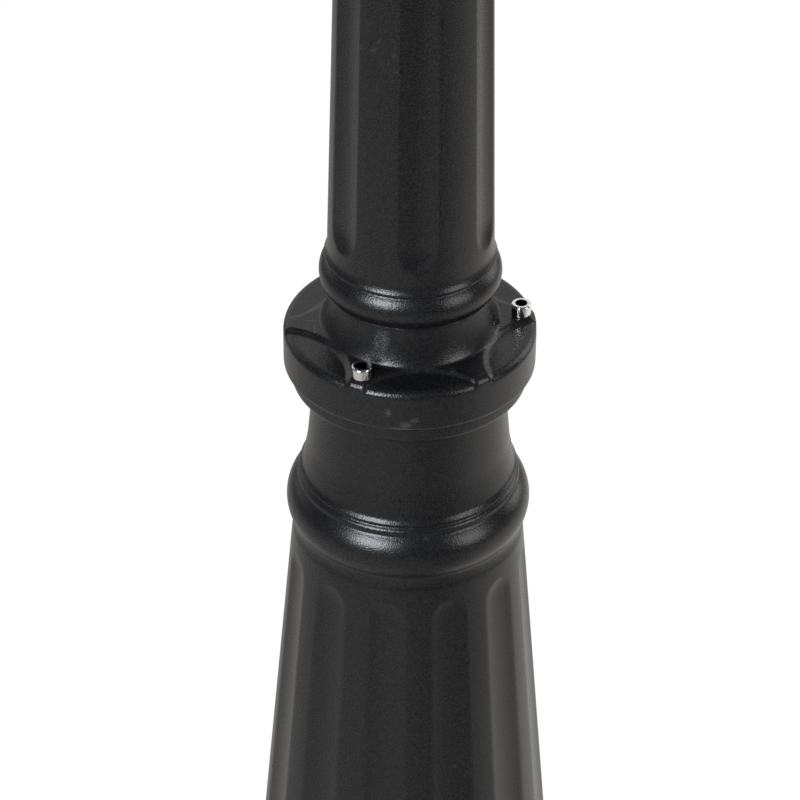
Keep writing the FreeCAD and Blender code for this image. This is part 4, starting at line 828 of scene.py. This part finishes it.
def thinned(outline):
    """Every point of the skin above the foot, every second on the foot, every sixth in the bore."""
    crown = max(range(len(outline)), key=lambda n: (outline[n][1], outline[n][0]))

    def spacing(n):
        if n > crown + 2:
            return 6
        return 2 if outline[n][1] < CONE_FOOT[1] else 1

    return [point for n, point in enumerate(outline) if n % spacing(n) == 0]


def on_cone(radius, height):
    """1 on the cone's outer skin, where the flutes are carved."""
    within = CONE_FOOT[1] < height < CONE_TOP[1]
    return float(within and radius > taper(CONE_FOOT, CONE_TOP, height) - SKIN_DEPTH)


def make_base():
    made = turn_outline("base_casting_shell", thinned(base_outline()), 324, marked_coat, on_cone)
    first = -math.pi / 2 + math.pi / CONE_FLUTES
    low_end, high_end = CONE_FLUTE_END * 1.5, CONE_FLUTE_END * 0.85
    run_tree(made, FLUTES, Count=float(CONE_FLUTES), First_angle=first, Half_angle=CONE_FLUTE_HALF_ANGLE,
             Depth_share=CONE_FLUTE_DEPTH_SHARE, Low=CONE_FLUTE_FOOT + low_end,
             High=CONE_FLUTE_HEAD - high_end, Low_end=low_end, High_end=high_end)
    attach(made, "post")
    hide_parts("base_casting")
    return made


base = make_base()
print("base", len(base.data.polygons), "faces")

# %% [markdown]
# The foot plate is part of the same casting, bored for four anchor bolts. Holes in a turned ring
# are what a boolean is for: the tree stands four drills on a circle and takes them out of the
# plate. The plate has few faces, so this is quick, and the rest of the base keeps its even mesh.

# %% Foot plate with its anchor holes
ANCHOR_HOLES = 4
ANCHOR_CIRCLE = 132.0 * MM
ANCHOR_HOLE_RADIUS = 6.5 * MM


def points_on_circle(tree, count, radius, turn):
    """Mesh circle of count points, the first of them turned round from X."""
    circle = node(tree, "GeometryNodeMeshCircle", Vertices=count, Radius=radius)
    turned = node(tree, "GeometryNodeTransform", Geometry=circle.outputs[0],
                  Rotation=node(tree, "ShaderNodeCombineXYZ", Z=turn).outputs[0])
    return turned.outputs[0]


def end_in(tree, end, geometry, material):
    """Ends a tree in real geometry, all in one material."""
    real = node(tree, "GeometryNodeRealizeInstances", Geometry=geometry)
    finish = node(tree, "GeometryNodeSetMaterial", Geometry=real.outputs[0], Material=material)
    tree.links.new(finish.outputs[0], end.inputs[0])


def drill_tree():
    tree, start, end = new_group(
        "drilled circle", "GeometryNodeTree",
        [("Geometry", "Geometry"), ("Holes", "Int", 4), ("Circle radius", "Float", 0.1),
         ("Hole radius", "Float", 0.006), ("Turn", "Float", 0.0), ("Material", "Material")],
        [("Geometry", "Geometry")])
    given = start.outputs
    circle = points_on_circle(tree, given["Holes"], given["Circle radius"], given["Turn"])
    drill = node(tree, "GeometryNodeMeshCylinder", Vertices=32, Radius=given["Hole radius"], Depth=0.2)
    drills = node(tree, "GeometryNodeInstanceOnPoints", Points=circle, Instance=drill.outputs[0])
    real = node(tree, "GeometryNodeRealizeInstances", Geometry=drills.outputs[0])
    cut = node(tree, "GeometryNodeMeshBoolean", {"operation": "DIFFERENCE"})
    tree.links.new(given["Geometry"], cut.inputs["Mesh 1"])
    tree.links.new(real.outputs[0], cut.inputs["Mesh 2"])
    end_in(tree, end, cut.outputs[0], given["Material"])
    return tree


DRILLED = drill_tree()


def make_foot_plate():
    edge = 4.0 * MM
    outline = soft_outline([
        (FOOT_BORE, 0), (PLATE_RADIUS, 0), (PLATE_RADIUS, PLATE_THICKNESS - edge),
        (PLATE_RADIUS - edge, PLATE_THICKNESS, edge * QUARTER_BOW), (FOOT_BORE, PLATE_THICKNESS)],
        step=1.4 * MM, coarse=40 * MM, passes=0)
    made = turn_outline("foot_plate", outline, 144, powder_coat)
    run_tree(made, DRILLED, Holes=ANCHOR_HOLES, Circle_radius=ANCHOR_CIRCLE,
             Hole_radius=ANCHOR_HOLE_RADIUS, Turn=math.pi / ANCHOR_HOLES, Material=powder_coat)
    made.data.shade_smooth()
    made.data.set_sharp_from_angle(angle=math.radians(35))
    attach(made, "post")
    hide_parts("base_casting")
    return made


foot_plate = make_foot_plate()
print("foot plate", len(foot_plate.data.polygons), "faces")

# %% [markdown]
# The collar is the piece that the photograph is about. Between the flare and the rim its table is
# scooped out six times by round-edged scallops, which leaves six arms; three of them carry a
# screw. The edge of a scallop is part of a circle whose centre lies outside the collar. The tree
# measures how far inside that circle a point lies and lets it down, with a smooth step, to the
# scallop's floor. The rounded rim goes down with the floor, so it jogs at each arm as it does in
# the photograph. The skirt below doesn't move, because its weight is 0.

# %% Geometry tree: scallops
COLLAR_RADIUS, COLLAR_ROUND = 63.35 * MM, 4.2 * MM
SKIRT_BORE, SKIRT_ROUND = 59.8 * MM, 1.3 * MM
FLARE_FOOT, FLARE_TOP = 44.6 * MM, 40.3 * MM
FLARE_HOLLOW, FLARE_APRON = 1.1 * MM, 8 * MM
COLLAR_BORE, COLLAR_UNDERSIDE = 24 * MM, TABLE - 14 * MM
SPIGOT_RADIUS, SPIGOT_TOP = 30 * MM, SHAFT_BOTTOM + 38 * MM
SCALLOPS = 6
SCALLOP_DEPTH = 1.9 * MM
SCALLOP_HALF_ANGLE = math.radians(26.0)
SCALLOP_INNER = 45.2 * MM
SCALLOP_STEP = 3.2 * MM
JOG_LOW, JOG_FADE = TABLE - 12 * MM, 7 * MM
WEB_LOW = TABLE - 8 * MM


def distance_to_nearest(tree, x, y, first, count, circle):
    """Distance to the nearest of count places on a circle round the axis."""
    turn = turn_from_nearest(tree, x, y, first, count)
    radius = root_of_squares(tree, x, y)
    along = maths(tree, "SUBTRACT", maths(tree, "MULTIPLY", radius, maths(tree, "COSINE", turn)), circle)
    across = maths(tree, "MULTIPLY", radius, maths(tree, "SINE", turn))
    return root_of_squares(tree, along, across)


def scallop_tree():
    tree, start, end = new_group(
        "scallops", "GeometryNodeTree",
        [("Geometry", "Geometry"), ("Count", "Float", 6.0), ("First angle", "Float", 0.0),
         ("Centre", "Float", 0.08), ("Radius", "Float", 0.04), ("Depth", "Float", 0.002),
         ("Step", "Float", 0.001)],
        [("Geometry", "Geometry")])
    given = start.outputs
    x, y, _ = point_place(tree)
    reach = distance_to_nearest(tree, x, y, given["First angle"], given["Count"], given["Centre"])
    inside = maths(tree, "SUBTRACT", given["Radius"], reach)
    edge = maths(tree, "MULTIPLY", given["Step"], 0.5)
    step = smooth(tree, inside, maths(tree, "MULTIPLY", edge, -1.0), edge)
    drop = maths(tree, "MULTIPLY", maths(tree, "MULTIPLY", step, skin_weight(tree)),
                 maths(tree, "MULTIPLY", given["Depth"], -1.0))
    offset = node(tree, "ShaderNodeCombineXYZ", Z=drop)
    shift = node(tree, "GeometryNodeSetPosition", Geometry=given["Geometry"], Offset=offset.outputs[0])
    tree.links.new(shift.outputs[0], end.inputs[0])
    return tree


SCALLOP = scallop_tree()
print("tree", SCALLOP.name, "with", len(SCALLOP.nodes), "nodes")

# %% [markdown]
# The collar's outline is turned first: skirt, rounded rim, table, the hollow flare up to the shaft,
# and the spigot that reaches into it. Its mesh is fine enough for the scallops' soft edges, apart
# from the bore, where every sixth point is enough.

# %% Collar


def table_weight(radius, height):
    """1 on the table and its rounded rim, fading to 0 down the wall; 0 on flare, bore and skirt."""
    if radius < FLARE_FOOT or height < JOG_LOW or radius < SKIRT_BORE and height < WEB_LOW:
        return 0.0
    return min(1.0, (height - JOG_LOW) / JOG_FADE)


def collar_outline():
    outline = soft_outline([
        (COLLAR_BORE, COLLAR_UNDERSIDE), (SKIRT_BORE, COLLAR_UNDERSIDE), (SKIRT_BORE, SKIRT_LOW),
        (COLLAR_RADIUS - SKIRT_ROUND, SKIRT_LOW),
        (COLLAR_RADIUS, SKIRT_LOW + SKIRT_ROUND, SKIRT_ROUND * QUARTER_BOW),
        (COLLAR_RADIUS, TABLE - COLLAR_ROUND),
        (COLLAR_RADIUS - COLLAR_ROUND, TABLE, COLLAR_ROUND * QUARTER_BOW),
        (FLARE_FOOT + FLARE_APRON, TABLE), (FLARE_FOOT, TABLE), (FLARE_TOP, SHAFT_BOTTOM, -FLARE_HOLLOW),
        (SPIGOT_RADIUS, SHAFT_BOTTOM), (SPIGOT_RADIUS, SPIGOT_TOP), (COLLAR_BORE, SPIGOT_TOP)],
        step=0.45 * MM, coarse=0.9 * MM)
    return [p for n, p in enumerate(outline)
            if p[0] > FLARE_TOP - 1 * MM and p[1] > SKIRT_LOW - 1 * MM or n % 6 == 0]


def make_collar():
    made = turn_outline("collar_casting", collar_outline(), 640, marked_coat, table_weight)
    centre = ((COLLAR_RADIUS ** 2 - SCALLOP_INNER ** 2)
              / (2 * (COLLAR_RADIUS * math.cos(SCALLOP_HALF_ANGLE) - SCALLOP_INNER)))
    run_tree(made, SCALLOP, Count=float(SCALLOPS), First_angle=-math.pi / 2, Centre=centre,
             Radius=centre - SCALLOP_INNER, Depth=SCALLOP_DEPTH, Step=SCALLOP_STEP)
    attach(made, "post")
    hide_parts("collar")
    return made


collar = make_collar()
print("collar", len(collar.data.polygons), "faces")

# %% [markdown]
# The screws are polished steel, with painted shade in their sockets: a dark brown mixed into the colour where
# shade falls in the hollow. The shader folds the three screws onto one by their angle and darkens what lies
# inside its socket, so one short rule serves all three.

# %% Steel, bare and with painted shade in the sockets
SCREWS = 3
SCREW_CIRCLE = 55.8 * MM
KEY_FLATS = 5.0 * MM
# The painted shade in the sockets: how far it reaches, as shares of the key's flats, and its dark brown.
SHADE_REACH, SHADE_FULL = 0.64, 0.60
SOCKET_PAINTED_SHADE = (0.035, 0.022, 0.014, 1)


def socket_shade_mask(tree, place):
    """1 inside the hexagon sockets of the screws, by the distance to the nearest screw's axis: where the
    painted shade goes.
    """
    x, y, _ = node(tree, "ShaderNodeSeparateXYZ", Vector=place).outputs
    away = distance_to_nearest(tree, x, y, 0.0, SCREWS, SCREW_CIRCLE)
    return node(tree, "ShaderNodeMapRange", Value=away, From_Min=KEY_FLATS * SHADE_REACH,
                From_Max=KEY_FLATS * SHADE_FULL).outputs[0]


def metal(name, colour, roughness, relief=0.0, grain_size=GRAIN_SIZE, painted_socket_shade=False):
    """Bare metal: a full metallic shader with a faint grain in its shine."""
    made, tree, place = new_material(name)
    grain = group_node(tree, GRAIN, Vector=place, Roughness=roughness, Relief=relief,
                       Grain_size=grain_size).outputs
    if painted_socket_shade:
        # Painted shade: the socket is darkened towards a dark brown.
        colour = mix_colour(tree, socket_shade_mask(tree, place), colour, SOCKET_PAINTED_SHADE)
    close_material(tree, node(tree, "ShaderNodeBsdfPrincipled", Base_Color=colour, Metallic=1.0,
                              Roughness=grain["Roughness"], Normal=grain["Normal"]))
    return made


polished_steel = metal("polished steel", (0.90, 0.89, 0.86, 1), 0.09)
screw_steel = metal("polished steel with dark sockets", (0.93, 0.92, 0.90, 1), 0.07, painted_socket_shade=True)
print("steels", polished_steel.name, "and", screw_steel.name)

# %% [markdown]
# The three cap screws are alike, so one is modelled here and placed in the next step. It is a stack
# of rings: round ones for the thread, the head and its rounded rim, six-sided ones for the socket,
# with as many points each, so that neighbours join up.

# %% One cap screw
HEAD_RADIUS, HEAD_ROUND = 5.0 * MM, 0.9 * MM
THREAD_RADIUS, THREAD_LENGTH = 2.9 * MM, 26.0 * MM
KEY_DEPTH, KEY_EASE, FLOOR_EASE, FLOOR_FILLET = 3.0 * MM, 0.25 * MM, 0.1 * MM, 0.3 * MM
RIM_STEPS = 5
HEX = 6


def hex_points(radius, height, around):
    """Points on a hexagon with its flats across the given radius times two."""
    points = []
    for n in range(around):
        angle = math.tau * n / around
        turn = (angle + math.pi / HEX) % (math.tau / HEX) - math.pi / HEX
        reach = radius / math.cos(turn)
        points.append((reach * math.cos(angle), reach * math.sin(angle), height))
    return points


def skin_rings(name, rings, material):
    """Closed piece from rings with equal counts, first and last filled with flat caps."""
    around = len(rings[0])
    vertices = [p for ring in rings for p in ring]
    faces = [tuple(range(around))[::-1]]
    for level in range(len(rings) - 1):
        low, high = level * around, (level + 1) * around
        for n in range(around):
            m = (n + 1) % around
            faces.append((low + n, low + m, high + m, high + n))
    faces.append(tuple(range((len(rings) - 1) * around, len(rings) * around)))
    made = new_piece(name, vertices, faces, material)
    made.data.set_sharp_from_angle(angle=math.radians(40))
    return made


def rim_rings(top, around):
    """The head's rounded rim, from its side to its top."""
    turns = [math.pi / 2 * n / RIM_STEPS for n in range(RIM_STEPS + 1)]
    return [ring_points(HEAD_RADIUS - HEAD_ROUND * (1 - math.cos(turn)),
                        top - HEAD_ROUND * (1 - math.sin(turn)), around) for turn in turns]


def cap_screw(around=48):
    seat, top, flat = TABLE, TABLE + SCREW_HEAD_HEIGHT, KEY_FLATS / 2
    rings = [ring_points(THREAD_RADIUS, seat - THREAD_LENGTH, around),
             ring_points(THREAD_RADIUS, seat, around),
             ring_points(HEAD_RADIUS - KEY_EASE, seat, around),
             ring_points(HEAD_RADIUS, seat + KEY_EASE, around),
             *rim_rings(top, around),
             hex_points(flat + KEY_EASE, top, around),
             hex_points(flat, top - KEY_EASE, around),
             hex_points(flat, top - KEY_DEPTH + FLOOR_EASE, around),
             hex_points(flat - FLOOR_FILLET, top - KEY_DEPTH, around)]
    return skin_rings("cap_screws", rings, screw_steel)


screws = cap_screw()
print("one cap screw", len(screws.data.polygons), "faces")

# %% [markdown]
# The tree places the screw on each of the points of a circle and turns it to face outwards.
# Moving one number then moves all three, as a drilled pattern would.

# %% The screws on their circle


def circle_tree():
    tree, start, end = new_group(
        "placed on a circle", "GeometryNodeTree",
        [("Geometry", "Geometry"), ("Count", "Int", 3), ("Circle radius", "Float", 0.05),
         ("First turn", "Float", 0.0), ("Material", "Material")],
        [("Geometry", "Geometry")])
    given = start.outputs
    circle = points_on_circle(tree, given["Count"], given["Circle radius"], given["First turn"])
    index = node(tree, "GeometryNodeInputIndex").outputs[0]
    pitch = maths(tree, "DIVIDE", math.tau, given["Count"])
    spin = maths(tree, "MULTIPLY_ADD", index, pitch, given["First turn"])
    facing = node(tree, "ShaderNodeCombineXYZ", Z=spin)
    copies = node(tree, "GeometryNodeInstanceOnPoints", Points=circle, Instance=given["Geometry"],
                  Rotation=facing.outputs[0])
    end_in(tree, end, copies.outputs[0], given["Material"])
    return tree


ON_CIRCLE = circle_tree()
run_tree(screws, ON_CIRCLE, Count=SCREWS, Circle_radius=SCREW_CIRCLE, First_turn=0.0, Material=screw_steel)
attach(screws, "post")
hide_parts("collar_cap_screws")
print("cap screws", len(screws.data.polygons), "faces")

# %% [markdown]
# The other finishes are small on the post and mostly seen from close by, so each is a short
# recipe: metal with a grain, glass with its green edge, glaze, rubber, moulded plastic. Wear goes
# through the same mask as the powder coat. Galvanised sheet gets its frost-like crystals from
# Voronoi cells, each of them shining a little differently.

# %% Materials for the smaller parts


def plain_material(name, colour, roughness, relief=0.0, grain_size=GRAIN_SIZE, coat=0.0, wear=None):
    """Non-metal with a grain. wear is (amount, colour of the worn spots)."""
    made, tree, place = new_material(name)
    grain = group_node(tree, GRAIN, Vector=place, Roughness=roughness, Relief=relief,
                       Grain_size=grain_size).outputs
    if wear:
        mask = group_node(tree, WEAR, Vector=place, Amount=wear[0])
        colour = mix_colour(tree, mask.outputs["Mask"], colour, wear[1])
    close_material(tree, node(tree, "ShaderNodeBsdfPrincipled", Base_Color=colour,
                              Roughness=grain["Roughness"], Normal=grain["Normal"],
                              Coat_Weight=coat, Coat_Roughness=0.06))
    return made


def glass_material(name, colour, roughness, thin_milk=0.0):
    """Clear glass, or opal glass where light scatters in its wall."""
    made, tree, place = new_material(name)
    dust = group_node(tree, WEAR, Vector=place, Amount=0.12, Patch_size=0.06)
    rough = maths(tree, "MULTIPLY_ADD", dust.outputs["Mask"], 0.12, roughness)
    close_material(tree, node(tree, "ShaderNodeBsdfPrincipled", Base_Color=colour, Roughness=rough,
                              IOR=1.5, Transmission_Weight=1.0 - thin_milk,
                              Subsurface_Weight=thin_milk * 0.5, Subsurface_Scale=0.01))
    return made


def galvanised_material(name):
    made, tree, place = new_material(name)
    cells = node(tree, "ShaderNodeTexVoronoi", Vector=place, Scale=160.0)
    frost = node(tree, "ShaderNodeSeparateColor", Color=cells.outputs["Color"])
    tone = mix_colour(tree, frost.outputs[0], (0.42, 0.44, 0.46, 1), (0.60, 0.62, 0.64, 1))
    rough = maths(tree, "MULTIPLY_ADD", frost.outputs[1], 0.22, 0.30)
    close_material(tree, node(tree, "ShaderNodeBsdfPrincipled", Base_Color=tone, Metallic=1.0,
                              Roughness=rough))
    return made


FINISHES = {
    "black_coat": powder_coat,
    "polished_steel": polished_steel,
    "dark_steel": metal("blackened steel", (0.075, 0.075, 0.08, 1), 0.34, 0.00002),
    "galvanised": galvanised_material("galvanised sheet"),
    "brass": metal("turned brass", (0.62, 0.44, 0.17, 1), 0.24, 0.00001, 0.7 * MM),
    "clear_glass": glass_material("clear glass", (0.93, 0.97, 0.95, 1), 0.01),
    "opal_lamp": glass_material("opal glass", (0.90, 0.89, 0.85, 1), 0.22, 0.9),
    "porcelain": plain_material("glazed porcelain", (0.80, 0.79, 0.74, 1), 0.30, coat=0.8,
                                wear=(0.10, (0.45, 0.42, 0.36, 1))),
    "black_rubber": plain_material("rubber", (0.018, 0.018, 0.018, 1), 0.72, 0.00004, 1.4 * MM),
    "white_plastic": plain_material("moulded nylon", (0.74, 0.74, 0.71, 1), 0.42, 0.00001, 0.8 * MM),
    "grey_sheath": plain_material("cable sheath", (0.16, 0.16, 0.165, 1), 0.46, 0.00001, 0.7 * MM),
}
print("finishes", sorted(FINISHES))

# %% [markdown]
# Every CAD solid that stays in view takes the finish that the record gives it. The meshes come as
# they are, so only their material is set.

# %% Dress the CAD solids


def dress_frame():
    dressed = 0
    for part in frame["record"]["subparts"]:
        solid = frame["nodes"][part["node"]]
        solid.data.materials.clear()
        solid.data.materials.append(FINISHES[part["material_slot"]])
        dressed += 1
    return dressed


print("dressed", dress_frame(), "solids")

# %% [markdown]
# The box of everything that shows, apart from the floor, is worked out last. The dressed post
# has to stay inside the CAD model's own box.

# %% The box of the dressed post


def dressed_box():
    """Lowest and highest corner of everything that shows, apart from the floor."""
    corners = []
    for thing in bpy.data.objects:
        if thing.type == "MESH" and not thing.hide_render and thing.name != "studio_floor":
            corners += [thing.matrix_world @ Vector(corner) for corner in thing.bound_box]
    return [min(c[k] for c in corners) for k in range(3)], [max(c[k] for c in corners) for k in range(3)]


bpy.context.view_layer.update()
low, high = dressed_box()
